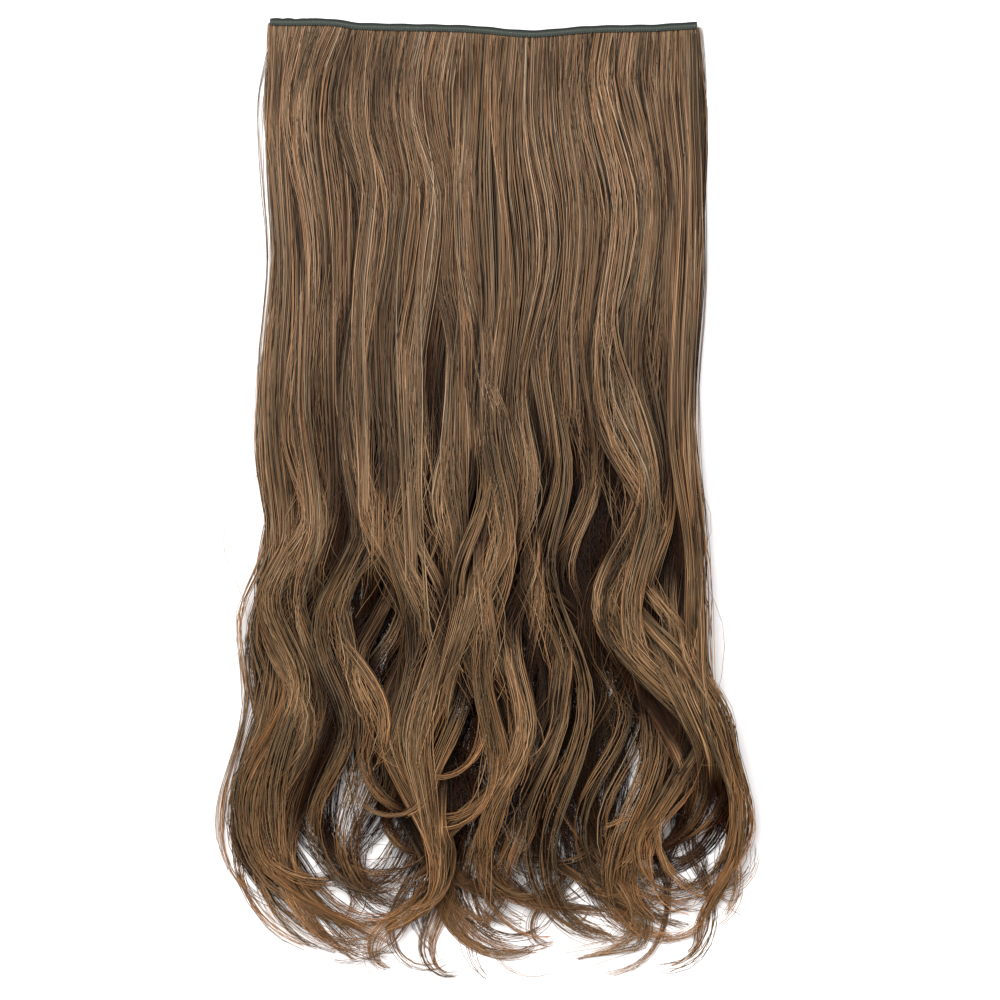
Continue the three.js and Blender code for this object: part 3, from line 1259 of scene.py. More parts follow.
@dataclass
class Bundle:
    """Hairs that run together from the tape to their tips, in mm.

    Each is cut short by a share up to cut, and sways aside and up by its own wander, more in the
    waves and at the tip, where it may flick aside. Some stray further, and some are dark: partly
    the fibre's own dark hairs, partly painted shade for the shadow lines between hairs. Lower hairs
    are painted darker, and sheen paints lighter and darker bands along the waves.
    """

    path: np.ndarray
    half_width: np.ndarray
    base: np.ndarray
    depth: np.ndarray
    sheen: np.ndarray | float = 0.0
    points_each: int = 34
    cut: float = 0.18
    cut_power: float = 1.6
    fine: float = 0.18
    coarse: float = 0.34
    tone_spread: float = 0.21
    painted_level_shade: float = 0.12
    dark_share: float = 0.16
    dark_tone: float = 0.16
    stray_share: float = 0.12
    stray_reach: float = 3.5
    tip_length: float = 80.0
    tip_radius: float = 0.7
    sway: float = 0.3
    wave_sway: float = 0.6
    tip_sway: float = 0.35
    flick: float = 0.8
    flick_power: float = 1.5
    lift: float = 0.15
    wave_lift: float = 0.3
    floor_gap: float = 0.05

    @classmethod
    def single(cls, path: np.ndarray, base: np.ndarray, **sizes: float) -> "Bundle":
        """A bundle for one hair along a path at a height."""
        none = np.zeros(len(path))
        return cls(path, none, base, none, **sizes)

    def lay(self, lines: HairLines, dice: np.random.Generator, hairs: int, tone: float) -> None:
        """Lay the hairs of the bundle.

        Args:
            lines: where the hairs go.
            dice: seeded random numbers.
            hairs: how many.
            tone: their usual tone.
        """
        run = runs_of(self.path)
        sheens = np.broadcast_to(self.sheen, run.shape)
        columns = (*self.path.T, *sides_of(self.path).T, self.half_width, self.base, self.depth, sheens)
        marks = np.interp(spaced_by_turn(self.path, self.points_each), np.arange(len(run)), run)
        places = np.arange(self.points_each)
        for _ in range(hairs):
            shift = dice.uniform(-0.5, 0.5)
            moved = np.concatenate([places[:1], places[1:-1] + shift, places[-1:]])
            at = np.interp(moved, places, marks) * (1.0 - self.cut * dice.uniform() ** self.cut_power)
            x, y, right, ahead, half, base, depth, sheen = (np.interp(at, run, column) for column in columns)
            level = dice.uniform()
            waving = FALL.waving(at)
            ending = smoothstep(at, at[-1] - self.tip_length, at[-1])
            reach = self.stray_reach if dice.uniform() < self.stray_share else 1.0
            loose = self.wave_sway * waving + self.tip_sway * ending
            sway = WANDER.draw(dice, at, self.sway + reach * loose)
            flick = dice.normal(0.0, self.flick * reach) * ending**self.flick_power
            offset = half * dice.uniform(-1.0, 1.0) + sway + flick
            radius = dice.uniform(self.fine, self.coarse) * blend(1.0, self.tip_radius, ending)
            z = base + depth * level + WANDER.draw(dice, at, self.lift + self.wave_lift * waving)
            z = np.maximum(z, radius + self.floor_gap)
            # Painted shade: hairs that lie lower in the bundle are darker, and higher ones lighter.
            own_tone = tone + dice.normal(0.0, self.tone_spread) + self.painted_level_shade * (level - 0.5)
            # Dark hairs: partly the fibre's own dark hairs, partly painted shade for the shadow lines
            # between hairs; they fade to the usual tone at their tips.
            if dice.uniform() < self.dark_share:
                own_tone = blend(dice.uniform(0.0, self.dark_tone), tone, ending)
            spots = np.column_stack([x + right * offset, y + ahead * offset, z])
            lines.add(spots, np.clip(own_tone + sheen, 0.0, 1.0), radius)


@dataclass
class HairLock:
    """One lock of hair: strands of wisps that follow the lock's fall, in mm.

    Its strands and wisps stray from it by the ranges and spreads here, and the ringlets among
    them curl tighter. Wisps overlap, roll over in the waves, and gather at their tips.
    """

    layer: Layer
    index: int
    strands: int = 3
    wisps: int = 5
    seed_step: int = 1000
    evening: int = 4
    neighbour_share: float = 0.5
    tone: float = 0.5
    tone_spread: float = 0.04
    strand_tone_spread: float = 0.07
    wisp_tone_spread: float = 0.1
    # Painted sheen: how far the tone rises and falls with the roll of the waves, as lighter and darker
    # bands.
    sheen: float = 0.17
    roll: float = 1.5
    fan: float = 0.35
    edge_lean: float = 0.2
    edge_swing: float = 0.6
    wave_shares: Point = (0.985, 1.015)
    drop_moves: Point = (-32.0, 10.0)
    turn_shares: Point = (0.85, 1.35)
    radius_shares: Point = (0.7, 1.05)
    ringlets: float = 0.12
    ringlet_turn: float = 1.6
    ringlet_radius: float = 0.6
    strand_lift: float = 0.5
    wisp_crest: float = 1.5
    overlap: float = 1.7
    wave_overlaps: Point = (1.0, 2.0)
    wave_thinning: float = 0.5
    gather: float = 0.4
    gather_length: float = 130.0

    @property
    def name(self) -> str:
        """The CAD node that this lock stands for."""
        return f"{self.layer.prefix}{self.index + 1:02d}"

    @property
    def root(self) -> float:
        """X of the middle of the lock's root."""
        return (self.index - (self.layer.count - 1) / 2) * self.layer.pitch

    @property
    def row(self) -> LockRow:
        """How this lock falls."""
        return ROWS[self.layer][self.index]

    @property
    def loose(self) -> float:
        """Share of the layer's spread that the lock takes, none at the outer edges."""
        return 0.0 if self.index in (0, self.layer.count - 1) else 1.0

    def row_at(self, seat: float) -> LockRow:
        """Mix the lock's fall with its neighbour's.

        Args:
            seat: place across the lock, from -1 to 1.

        Returns:
            The fall of a wisp there; its length and curl stay the lock's own.
        """
        beside = min(max(self.index + (1 if seat > 0 else -1), 0), self.layer.count - 1)
        other = ROWS[self.layer][beside]
        share = abs(seat) * self.neighbour_share
        mixed = {
            name: blend(getattr(self.row, name), getattr(other, name), share)
            for name in ("bow", "lean", "swing", "wave", "crest")
        }
        return replace(self.row, **mixed)

    def strand_row(self, dice: np.random.Generator, seat: float) -> LockRow:
        """Stir a strand's fall.

        Args:
            dice: seeded random numbers.
            seat: place across the lock, from -1 to 1.

        Returns:
            The fall of that strand.
        """
        row = self.row_at(seat)
        stir = self.layer.stir
        tight = dice.uniform() < self.ringlets
        swing = row.swing * dice.uniform(1.0 - stir.swing, 1.0 + stir.swing)
        return replace(
            row,
            lean=row.lean + dice.normal(0.0, stir.lean) * blend(self.edge_lean, 1.0, self.loose),
            swing=swing * blend(self.edge_swing, 1.0, self.loose),
            wave=row.wave * dice.uniform(*self.wave_shares),
            crest=row.crest + dice.normal(0.0, stir.crest),
            drop=row.drop + dice.uniform(*self.drop_moves),
            turn=row.turn * dice.uniform(*self.turn_shares) * (self.ringlet_turn if tight else 1.0),
            radius=row.radius * dice.uniform(*self.radius_shares) * (self.ringlet_radius if tight else 1.0),
        )

    def width(self, run: np.ndarray, fan: float) -> np.ndarray:
        """Width of the lock along its run, which fans and pinches with the waves.

        Args:
            run: lengths from the root.
            fan: share by which it widens at its right-hand crests.

        Returns:
            Widths in mm.
        """
        waving = FALL.waving(run)
        spread = blend(1.0, self.layer.spread, waving * self.loose)
        pulse = 1.0 + fan * waving * np.cos(math.tau * (run - self.row.crest) / self.row.wave)
        taper = blend(1.0, self.layer.stir.tip_share, smoothstep(run, run[-1] - FALL.tip_taper, run[-1]))
        return self.layer.pitch * spread * pulse * taper

    def piece(self) -> HairPiece:
        """Lay all hairs of the lock, in place of its CAD node.

        Returns:
            The piece.
        """
        dice = np.random.default_rng(self.seed_step * self.layer.count + self.index)
        own = FALL.path(self.row, self.root)
        own_run = runs_of(own)
        solid = Heights([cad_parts[self.name]])
        low, high = (evened(found, self.evening) for found in solid.along(own))
        fan = dice.uniform(-self.fan, self.fan) * self.loose
        turn = dice.uniform(0.0, math.tau)
        lock_tone = dice.normal(self.tone, self.tone_spread)
        lines = HairLines()
        for strand in range(self.strands):
            middle = (strand + 0.5) / self.strands * 2.0 - 1.0
            kin = self.strand_row(dice, middle)
            lift = dice.uniform(0.0, self.strand_lift)
            strand_tone = lock_tone + dice.normal(0.0, self.strand_tone_spread)
            for k in range(self.wisps):
                seat = ((k + dice.uniform()) / self.wisps * 2.0 - 1.0) / self.strands
                here = self.row_at(middle + seat)
                lean = kin.lean + (here.lean - self.row_at(middle).lean)
                crest = kin.crest + dice.normal(0.0, self.wisp_crest)
                row = replace(kin, bow=here.bow, lean=lean, crest=crest)
                path = FALL.path(row, self.root)
                run = runs_of(path)
                waving = FALL.waving(run)
                width = self.width(run, fan)
                ending = smoothstep(run, run[-1] - self.gather_length, run[-1])
                share = middle * blend(1.0, self.layer.stir.spread, waving * self.loose)
                share += seat * blend(1.0, self.gather, ending)
                path = FALL.drawn_in(FALL.flowed(path + sides_of(path) * (share * width / 2)[:, None]))
                overlap = blend(self.overlap, dice.uniform(*self.wave_overlaps), waving)
                half = width / (self.strands * self.wisps) * overlap
                half *= blend(1.0, self.gather, ending)
                base = np.interp(run, own_run, low)
                depth = np.interp(run, own_run, high) - base
                # roll lifts and lowers the wisps in the waves; times sheen it also paints lighter and darker
                # bands along them.
                roll = np.cos(math.tau * (run - row.crest) / row.wave + turn) * FALL.banded(run)
                base += (depth * lift + roll * self.roll) * waving
                thinned = depth * (1.0 - self.wave_thinning * waving)
                tone = strand_tone + dice.normal(0.0, self.wisp_tone_spread)
                bundle = Bundle(path, half, base, thinned, roll * self.sheen)
                bundle.lay(lines, dice, self.layer.hairs, tone)
        return HairPiece(f"hair_{self.name}", lines, self.layer, node=self.name)


class Side(Enum):
    """Groups of loose locks, each one piece, with the number of points on each hair."""

    LEFT = ("left", 32)
    MIDDLE = ("middle", 32)
    RIGHT = ("right", 32)
    STRAY = ("stray", 32)
    BOTTOM = ("bottom", 24)

    def __init__(self, label: str, points: int) -> None:
        """Name the columns of the table above."""
        self.label = label
        self.points = points


class Fold(NamedTuple):
    """A turning point of a loose lock, in mm: how far down it lies, its X and the half width there."""

    down: float
    x: float
    half: float


@dataclass(frozen=True)
class LooseLock:
    """A loose lock that lies over the others, in mm and degrees.

    It starts at root on the tape, swings from fold to fold, and ends in a curl that turns by
    turn, + to the right, at radius, with a straight tail after it. Its hairs are thickness times
    as thick as others. It runs hidden under the others for the length below.
    """

    root: float
    hairs: int
    tone: float
    folds: tuple[Fold, ...]
    turn: float
    radius: float
    tail: float = 0.0
    root_spread: float = 1.5
    thickness: float = 1.0
    below: float = 0.0

    def middle(self) -> tuple[np.ndarray, np.ndarray]:
        """Run a smooth middle line through the folds.

        Returns:
            Points seen from above, and the half width at each.
        """
        start = Fold(-FALL.top(self.root), self.root, self.folds[0].half * self.root_spread)
        table = np.array([start, *self.folds])
        down = np.arange(table[0, 0], table[-1, 0], FALL.step)
        k = np.clip(np.searchsorted(table[:, 0], down, side="right") - 1, 0, len(table) - 2)
        share = smoothstep((down - table[k, 0]) / (table[k + 1, 0] - table[k, 0]), 0.0, 1.0)
        x, half = (blend(table[k, column], table[k + 1, column], share) for column in (1, 2))
        path = FALL.curled(np.column_stack([x, -down]), self.turn, self.radius, self.tail)
        curl = np.linspace(1.0, FALL.tip_share, len(path) - len(half)) * half[-1]
        return FALL.flowed(path), np.concatenate([half, curl])


LOOSE_LOCKS: dict[Side, list[LooseLock]] = {
    Side.LEFT: [
        # outer strand at the left edge
        LooseLock(-136, 12, 0.62, (
            Fold(55, -138, 1.5), Fold(138, -138, 2), Fold(234, -141, 2), Fold(320, -139, 2),
            Fold(375, -156, 2), Fold(420, -152, 2), Fold(500, -170, 1.6),
        ), turn=88, radius=53, tail=14),
        # second strand at the left edge
        LooseLock(-134, 24, 0.55, (
            Fold(138, -138, 3), Fold(234, -138, 3), Fold(325, -133, 3), Fold(382, -146, 3),
            Fold(422, -137, 3), Fold(496, -162, 2.6),
        ), turn=85, radius=48),
        # broad left wave
        LooseLock(-124, 60, 0.58, (
            Fold(234, -128, 6.5), Fold(320, -124, 6), Fold(360, -137, 8), Fold(415, -119, 9),
            Fold(490, -149, 8),
        ), turn=55, radius=60),
        # second left wave, down to the lowest left curl
        LooseLock(-114, 50, 0.55, (
            Fold(234, -116, 6.5), Fold(315, -110, 6), Fold(358, -120, 7), Fold(422, -103, 8),
            Fold(503, -129, 7.5),
        ), turn=65, radius=95),
        # golden split strand
        LooseLock(-98, 40, 0.68, (
            Fold(234, -98, 5), Fold(300, -97, 5), Fold(350, -105, 3), Fold(440, -62, 3), Fold(477, -67, 4),
        ), turn=65, radius=45),
        # hook that sweeps right
        LooseLock(-89, 65, 0.45, (
            Fold(234, -89, 5), Fold(290, -84, 4.5), Fold(345, -93, 4), Fold(400, -84, 4.5),
            Fold(490, -107, 5),
        ), turn=105, radius=42, tail=20),
        # other half of the split
        LooseLock(-78, 50, 0.62, (
            Fold(234, -79, 5), Fold(300, -77, 4), Fold(375, -46, 3), Fold(440, -64, 4.5), Fold(530, -30, 5),
        ), turn=-70, radius=40, tail=10),
        # strand across the lower left
        LooseLock(-112, 24, 0.6, (
            Fold(234, -113, 3), Fold(320, -106, 3), Fold(372, -118, 3), Fold(430, -104, 3),
            Fold(516, -122, 3),
        ), turn=65, radius=50, tail=40),
        # low arc below the hook
        LooseLock(-70, 24, 0.55, (
            Fold(234, -70, 3), Fold(330, -66, 3), Fold(420, -84, 3), Fold(505, -97, 3),
        ), turn=90, radius=40, tail=25),
    ],
    Side.MIDDLE: [
        # left of the fountain, down to the lowest arc
        LooseLock(-63, 50, 0.5, (
            Fold(234, -63, 6), Fold(290, -61, 6), Fold(390, -42, 7), Fold(470, -56, 6.5),
            Fold(550, -27, 7), Fold(584, -36, 6),
        ), turn=110, radius=17),
        # thin golden strand
        LooseLock(-41, 14, 0.72, (
            Fold(234, -42, 2.5), Fold(375, -37, 2), Fold(410, -29, 2.5), Fold(477, -43, 3),
        ), turn=60, radius=40),
        # right side of the broad lobe, which pinches
        LooseLock(-10, 60, 0.62, (
            Fold(150, -8, 5), Fold(200, -4, 4.5), Fold(268, 15, 7.5), Fold(332, -3, 4.5), Fold(464, 16, 6),
            Fold(520, -28, 4),
        ), turn=100, radius=38),
        # middle of the lobe
        LooseLock(-19, 60, 0.6, (
            Fold(150, -17, 5), Fold(200, -10, 5), Fold(270, -1, 10), Fold(330, -8, 5), Fold(455, -28, 7),
            Fold(500, -30, 5),
        ), turn=110, radius=42),
        # left side of the lobe
        LooseLock(-33, 50, 0.6, (
            Fold(150, -28, 5.5), Fold(200, -19, 5), Fold(272, -18, 10), Fold(328, -13, 5), Fold(455, -41, 7),
            Fold(500, -36, 5),
        ), turn=130, radius=45),
        # middle wave that ends sweeping right
        LooseLock(11, 70, 0.6, (
            Fold(170, 14, 6), Fold(335, 30, 5), Fold(382, 18, 6), Fold(440, 27, 6), Fold(510, 2, 5),
        ), turn=85, radius=42, tail=50, below=350),
        # fan to the left below the fountain
        LooseLock(-52, 46, 0.58, (
            Fold(234, -52, 4), Fold(330, -45, 4), Fold(420, -52, 4), Fold(540, -31, 4), Fold(584, -70, 5),
        ), turn=110, radius=12),
        # sweep to the right below the fountain
        LooseLock(-20, 24, 0.55, (
            Fold(234, -20, 4), Fold(330, -12, 4), Fold(450, -36, 4), Fold(540, -30, 3), Fold(585, -8, 3),
        ), turn=45, radius=30),
        # soft wave behind the bottom arcs
        LooseLock(0, 40, 0.5, (
            Fold(234, 3, 5), Fold(330, 14, 5), Fold(400, 0, 6), Fold(470, 10, 7), Fold(545, -6, 6),
        ), turn=70, radius=40),
        # bottom arc that rises to the right
        LooseLock(-12, 46, 0.55, (
            Fold(234, -12, 4), Fold(340, -4, 4), Fold(440, -24, 4), Fold(545, -26, 5),
        ), turn=125, radius=40),
        # wave into the bottom loop
        LooseLock(30, 55, 0.5, (
            Fold(170, 33, 6), Fold(275, 44, 5), Fold(315, 39, 5), Fold(385, 53, 6), Fold(460, 43, 6.5),
            Fold(532, 59, 4.5), Fold(572, 31, 2),
        ), turn=130, radius=10),
        # wave into the bottom right curl
        LooseLock(49, 45, 0.55, (
            Fold(170, 52, 6), Fold(230, 57, 6), Fold(300, 46, 4.5), Fold(365, 67, 5), Fold(440, 58, 6),
            Fold(530, 66, 5), Fold(570, 104, 3),
        ), turn=-95, radius=14, tail=34),
    ],
    Side.RIGHT: [
        # golden S lock
        LooseLock(75, 80, 0.68, (
            Fold(170, 78, 6.5), Fold(295, 104, 8), Fold(366, 76, 7), Fold(477, 132, 6),
        ), turn=-75, radius=46),
        # sweep along the lower right
        LooseLock(62, 64, 0.6, (
            Fold(170, 64, 5), Fold(275, 72, 4.5), Fold(350, 59, 5), Fold(440, 69, 6), Fold(490, 67, 6),
        ), turn=115, radius=56),
        # inner right wave
        LooseLock(100, 50, 0.55, (
            Fold(170, 100, 6), Fold(300, 119, 5), Fold(362, 100, 6), Fold(470, 142, 5),
        ), turn=-80, radius=48),
        # wave into the lower right point
        LooseLock(113, 40, 0.52, (
            Fold(170, 114, 5), Fold(300, 126, 5), Fold(355, 116, 5), Fold(450, 132, 6), Fold(535, 93, 4.5),
        ), turn=60, radius=34, tail=12),
        # right edge down to its long tip
        LooseLock(132, 60, 0.56, (
            Fold(60, 138, 4), Fold(221, 131, 4), Fold(320, 136, 4), Fold(385, 130, 5), Fold(445, 155, 5),
            Fold(507, 168, 4), Fold(580, 139, 1.3),
        ), turn=-60, radius=12),
        # golden strands inside the right edge
        LooseLock(123, 35, 0.64, (
            Fold(106, 127, 4), Fold(221, 123, 4.5), Fold(322, 130, 4.5), Fold(392, 124, 4.5),
            Fold(470, 147, 4), Fold(545, 163, 2),
        ), turn=-70, radius=25),
        # strand that crosses back to the left
        LooseLock(136, 22, 0.42, (
            Fold(266, 132, 3), Fold(395, 140, 3), Fold(485, 157, 3),
        ), turn=-70, radius=28, tail=24),
        # broad lobe at the lower right
        LooseLock(88, 60, 0.5, (
            Fold(234, 92, 6), Fold(300, 108, 6), Fold(370, 92, 7), Fold(450, 112, 9), Fold(540, 84, 9),
        ), turn=60, radius=40),
        # hook at the bottom right
        LooseLock(22, 26, 0.6, (
            Fold(234, 25, 3), Fold(360, 36, 3), Fold(440, 24, 3), Fold(515, 38, 3), Fold(572, 94, 2),
        ), turn=-140, radius=9, tail=12, below=340),
        # small ring at the right
        LooseLock(128, 12, 0.5, (
            Fold(234, 130, 2), Fold(330, 136, 2), Fold(430, 140, 2), Fold(500, 158, 2), Fold(546, 151, 1.5),
        ), turn=200, radius=8),
    ],
    Side.STRAY: [
        # thin arc over the dark pocket
        LooseLock(-85, 6, 0.75, (Fold(234, -89, 2), Fold(400, -92, 2.6)), turn=130, radius=62),
        # long thin arc
        LooseLock(-47, 3, 0.8, (Fold(234, -48, 1.3), Fold(450, -43, 1.3)), turn=130, radius=45),
        # thin arc at the right
        LooseLock(75, 4, 0.75, (Fold(336, 68, 2), Fold(400, 69, 2)), turn=130, radius=30),
        # hair round the left of the dark pocket
        LooseLock(-37, 2, 0.75, (Fold(234, -38, 1.3), Fold(324, -41, 1.3)), turn=95, radius=24),
        # stray at the right
        LooseLock(135, 2, 0.55, (
            Fold(138, 142, 0.6), Fold(234, 139, 0.6), Fold(528, 150, 0.6),
        ), turn=105, radius=26),
        # bowed strands at the top left
        LooseLock(-137, 6, 1.0, (
            Fold(40, -146, 1.3), Fold(170, -144, 2), Fold(247, -144, 2), Fold(311, -140, 2),
            Fold(343, -142, 2),
        ), turn=10, radius=30, thickness=0.5),
        # strands off the left edge
        LooseLock(-135, 5, 0.9, (
            Fold(55, -142, 2), Fold(138, -143, 2), Fold(260, -145, 2), Fold(330, -137, 2.6),
            Fold(362, -142, 2.6),
        ), turn=10, radius=30, thickness=0.6),
        # hair that points off to the right
        LooseLock(134, 2, 0.5, (
            Fold(234, 136, 0.6), Fold(480, 150, 0.6), Fold(545, 152, 0.6),
        ), turn=100, radius=24, tail=4),
        # hair below the bottom right
        LooseLock(100, 1, 0.5, (
            Fold(362, 107, 1), Fold(464, 100, 1), Fold(566, 104, 1),
        ), turn=-60, radius=40),
        # thin wisps at the bottom
        LooseLock(23, 8, 0.6, (
            Fold(362, 34, 3), Fold(464, 23, 3), Fold(566, 95, 2.5),
        ), turn=-85, radius=14, tail=34, below=360),
        # thin wisps at the bottom left
        LooseLock(-105, 6, 0.55, (
            Fold(336, -110, 2.5), Fold(540, -79, 2), Fold(578, -92, 1),
        ), turn=95, radius=10),
        # pale loop below the bottom
        LooseLock(-5, 7, 0.9, (
            Fold(234, -5, 2), Fold(450, 2, 2), Fold(572, 4, 2),
        ), turn=165, radius=26, thickness=0.6),
    ],
    Side.BOTTOM: [
        # left mass that gathers to a knot
        LooseLock(-124, 60, 0.55, (
            Fold(234, -126, 5), Fold(330, -118, 5), Fold(400, -132, 7), Fold(488, -150, 10),
        ), turn=62, radius=72, tail=52, below=440),
        # inner half of the left mass
        LooseLock(-112, 44, 0.52, (
            Fold(234, -113, 5), Fold(330, -106, 5), Fold(400, -116, 7), Fold(485, -135, 8),
        ), turn=46, radius=92, tail=46, below=450),
        # behind the hook
        LooseLock(-75, 60, 0.45, (
            Fold(234, -75, 6), Fold(330, -68, 8), Fold(400, -80, 9), Fold(465, -72, 12), Fold(516, -86, 9),
        ), turn=75, radius=40, below=500),
        # behind the fountain
        LooseLock(-25, 60, 0.46, (
            Fold(234, -25, 6), Fold(340, -14, 8), Fold(420, -28, 9), Fold(495, -14, 11), Fold(548, -24, 9),
        ), turn=85, radius=35, below=520),
        # behind the middle sweep
        LooseLock(20, 60, 0.46, (
            Fold(234, 20, 6), Fold(330, 26, 8), Fold(420, 12, 9), Fold(490, 26, 12), Fold(540, 14, 10),
        ), turn=-70, radius=36, below=520),
        # between the middle and the right sweep
        LooseLock(45, 70, 0.46, (
            Fold(234, 45, 6), Fold(330, 52, 8), Fold(400, 40, 9), Fold(470, 50, 12), Fold(530, 38, 12),
        ), turn=85, radius=42, tail=10, below=520),
        # left of the lower right lobe
        LooseLock(70, 60, 0.46, (
            Fold(234, 70, 6), Fold(330, 80, 8), Fold(400, 66, 9), Fold(470, 82, 12), Fold(530, 70, 12),
        ), turn=90, radius=42, tail=14, below=520),
        # right of the lower right lobe
        LooseLock(105, 50, 0.46, (
            Fold(234, 105, 6), Fold(330, 112, 8), Fold(400, 102, 9), Fold(470, 112, 9), Fold(528, 94, 8),
        ), turn=85, radius=38, tail=10, below=520),
        # small ring at the bottom
        LooseLock(38, 22, 0.6, (
            Fold(234, 38, 3), Fold(400, 44, 3), Fold(480, 36, 3), Fold(556, 41, 2.5),
        ), turn=170, radius=13, below=520),
    ],
}


@dataclass
class LooseLocks:
    """Loose locks of one group, as one piece that lies over the CAD locks, in mm."""

    side: Side
    seed: int = 77
    rise: float = 1.2
    sink: float = 1.6
    root_height: float = 6.4
    root_depth: float = 0.6
    full_depth: float = 60.0
    floor: float = 0.6
    evening: int = 9
    under_height: float = 5.0
    surfacing: float = 70.0
    cut: float = 0.14
    sheen: float = 0.15
    sheen_length: float = 125.0
    root_tone: float = 0.54
    toned: float = 240.0

    def lines(self, heights: Heights) -> HairLines:
        """Lay all hairs of the group.

        Args:
            heights: the CAD locks.

        Returns:
            The hairs.
        """
        dice = np.random.default_rng(self.seed + list(Side).index(self.side))
        lines = HairLines()
        for lock in LOOSE_LOCKS[self.side]:
            path, half = lock.middle()
            run = runs_of(path)
            base = heights.tops(path, self.floor, self.evening) - self.sink + FALL.waving(run) * self.rise
            base = blend(self.under_height, base, smoothstep(run, lock.below - self.surfacing, lock.below))
            base = blend(self.root_height, base, FALL.freed(run))
            deepening = smoothstep(run, FALL.held, self.full_depth)
            depth = blend(self.root_depth, self.sink + self.rise, deepening)
            # Painted sheen: lighter and darker bands along the waves; near the root the tone is also evened
            # towards root_tone.
            roll = np.cos(math.tau * run / self.sheen_length + dice.uniform(0.0, math.tau))
            sheen = self.sheen * roll * FALL.banded(run)
            sheen += (self.root_tone - lock.tone) * (1.0 - smoothstep(run, 0.0, self.toned))
            sizes = {"fine": Bundle.fine * lock.thickness, "coarse": Bundle.coarse * lock.thickness}
            bundle = Bundle(path, half, base, depth, sheen, self.side.points, self.cut, **sizes)
            bundle.lay(lines, dice, lock.hairs, lock.tone)
        return lines

    def piece(self, heights: Heights) -> HairPiece:
        """Lay the group as one piece over the CAD locks."""
        return HairPiece(f"loose_locks_{self.side.label}", self.lines(heights), Layer.FRONT)


@dataclass
class FlyawayHairs:
    """Single fine hairs that cross the others on top, in mm."""

    count: int = 260
    seed: int = 5
    tone: float = 0.72
    points_each: int = 26
    margin: float = 16.0
    fine: float = 0.14
    coarse: float = 0.22
    rise: float = 0.9
    root_height: float = 6.6
    floor: float = 0.4
    evening: int = 9
    bows: Point = (2.0, 6.0)
    lean_spread: float = 16.0
    swings: Point = (7.0, 20.0)
    waves: Point = (110.0, 190.0)
    crests: Point = (300.0, 450.0)
    drops: Point = (430.0, 535.0)
    turns: Point = (-150.0, 150.0)
    curl_radii: Point = (16.0, 46.0)

    def row(self, dice: np.random.Generator) -> LockRow:
        """Draw one hair's fall.

        Args:
            dice: seeded random numbers.

        Returns:
            The fall.
        """
        bow = dice.uniform(*self.bows)
        lean = dice.normal(0.0, self.lean_spread)
        ranges = (self.swings, self.waves, self.crests, self.drops, self.turns, self.curl_radii)
        return LockRow(bow, lean, *(dice.uniform(*ends) for ends in ranges))

    def piece(self, heights: Heights) -> HairPiece:
        """Lay the hairs as one piece.

        Args:
            heights: the CAD locks.

        Returns:
            The piece.
        """
        dice = np.random.default_rng(self.seed)
        lines = HairLines()
        reach = TAPE_LINE.width / 2 - self.margin
        for _ in range(self.count):
            path = FALL.flowed(FALL.path(self.row(dice), dice.uniform(-reach, reach)))
            run = runs_of(path)
            top = heights.tops(path, self.floor, self.evening) + self.rise * FALL.waving(run)
            base = blend(self.root_height, top, FALL.freed(run))
            sizes = {"points_each": self.points_each, "fine": self.fine, "coarse": self.coarse}
            Bundle.single(path, base, dark_share=0.0, **sizes).lay(lines, dice, 1, self.tone)
        return HairPiece("flyaway_hairs", lines, Layer.FRONT)


@dataclass
class UnderHair:
    """Coarse plain hairs low in the back that close the gaps between the locks, in mm."""

    count: int = 420
    seed: int = 9
    tone: float = 0.45
    points_each: int = 20
    fine: float = 0.7
    coarse: float = 1.4
    tip_radius: float = 0.2
    margin: float = 8.0
    edge: float = 60.0
    root_height: float = 4.6
    heights: Point = (1.0, 5.0)
    tucked: float = 22.0
    lowered: float = 70.0
    bow: float = 3.0
    lean_spread: float = 9.0
    swings: Point = (5.0, 14.0)
    waves: Point = (125.0, 150.0)
    crests: Point = (300.0, 440.0)
    drops: Point = (405.0, 485.0)
    turns: Point = (-70.0, 70.0)
    curl_radii: Point = (30.0, 60.0)

    def row(self, dice: np.random.Generator, lean: float, inside: float) -> LockRow:
        """Draw one hair's fall.

        Args:
            dice: seeded random numbers.
            lean: the lean of the hair around it.
            inside: from 0 at the outer edges to 1, how freely it strays.

        Returns:
            The fall.
        """
        lean += dice.normal(0.0, self.lean_spread) * inside
        swing = dice.uniform(*self.swings) * inside
        ranges = (self.waves, self.crests, self.drops, self.turns, self.curl_radii)
        return LockRow(self.bow, lean, swing, *(dice.uniform(*ends) for ends in ranges))

    def piece(self) -> HairPiece:
        """Lay the hairs as one piece, spread evenly along the tape.

        Returns:
            The piece.
        """
        dice = np.random.default_rng(self.seed)
        lines = HairLines()
        roots = [HairLock(Layer.BACK, index).root for index in range(Layer.BACK.count)]
        leans = [row.lean for row in ROWS[Layer.BACK]]
        for k in range(self.count):
            root = ((k + dice.uniform()) / self.count - 0.5) * (TAPE_LINE.width - 2.0 * self.margin)
            inside = smoothstep(TAPE_LINE.width / 2 - abs(root), 0.0, self.edge)
            row = self.row(dice, np.interp(root, roots, leans), inside)
            path = FALL.drawn_in(FALL.flowed(FALL.path(row, root)))
            falling = smoothstep(runs_of(path), self.tucked, self.lowered)
            base = blend(self.root_height, dice.uniform(*self.heights), falling)
            sizes = {"points_each": self.points_each, "fine": self.fine, "coarse": self.coarse}
            hair = Bundle.single(path, base, tip_radius=self.tip_radius, **sizes)
            hair.lay(lines, dice, 1, self.tone)
        return HairPiece("under_hair", lines, Layer.BACK)


@dataclass
class SnapClips:
    """Snap clips under the tape, kept as the CAD nodes."""

    count: int = 5

    def dress(self) -> None:
        """Paint the clips."""
        paint = ClipFinish().material()
        for k in range(self.count):
            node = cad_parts[f"snap_clip_{k + 1}"]
            for place in node.material_slots:
                place.link = "OBJECT"
                place.material = paint


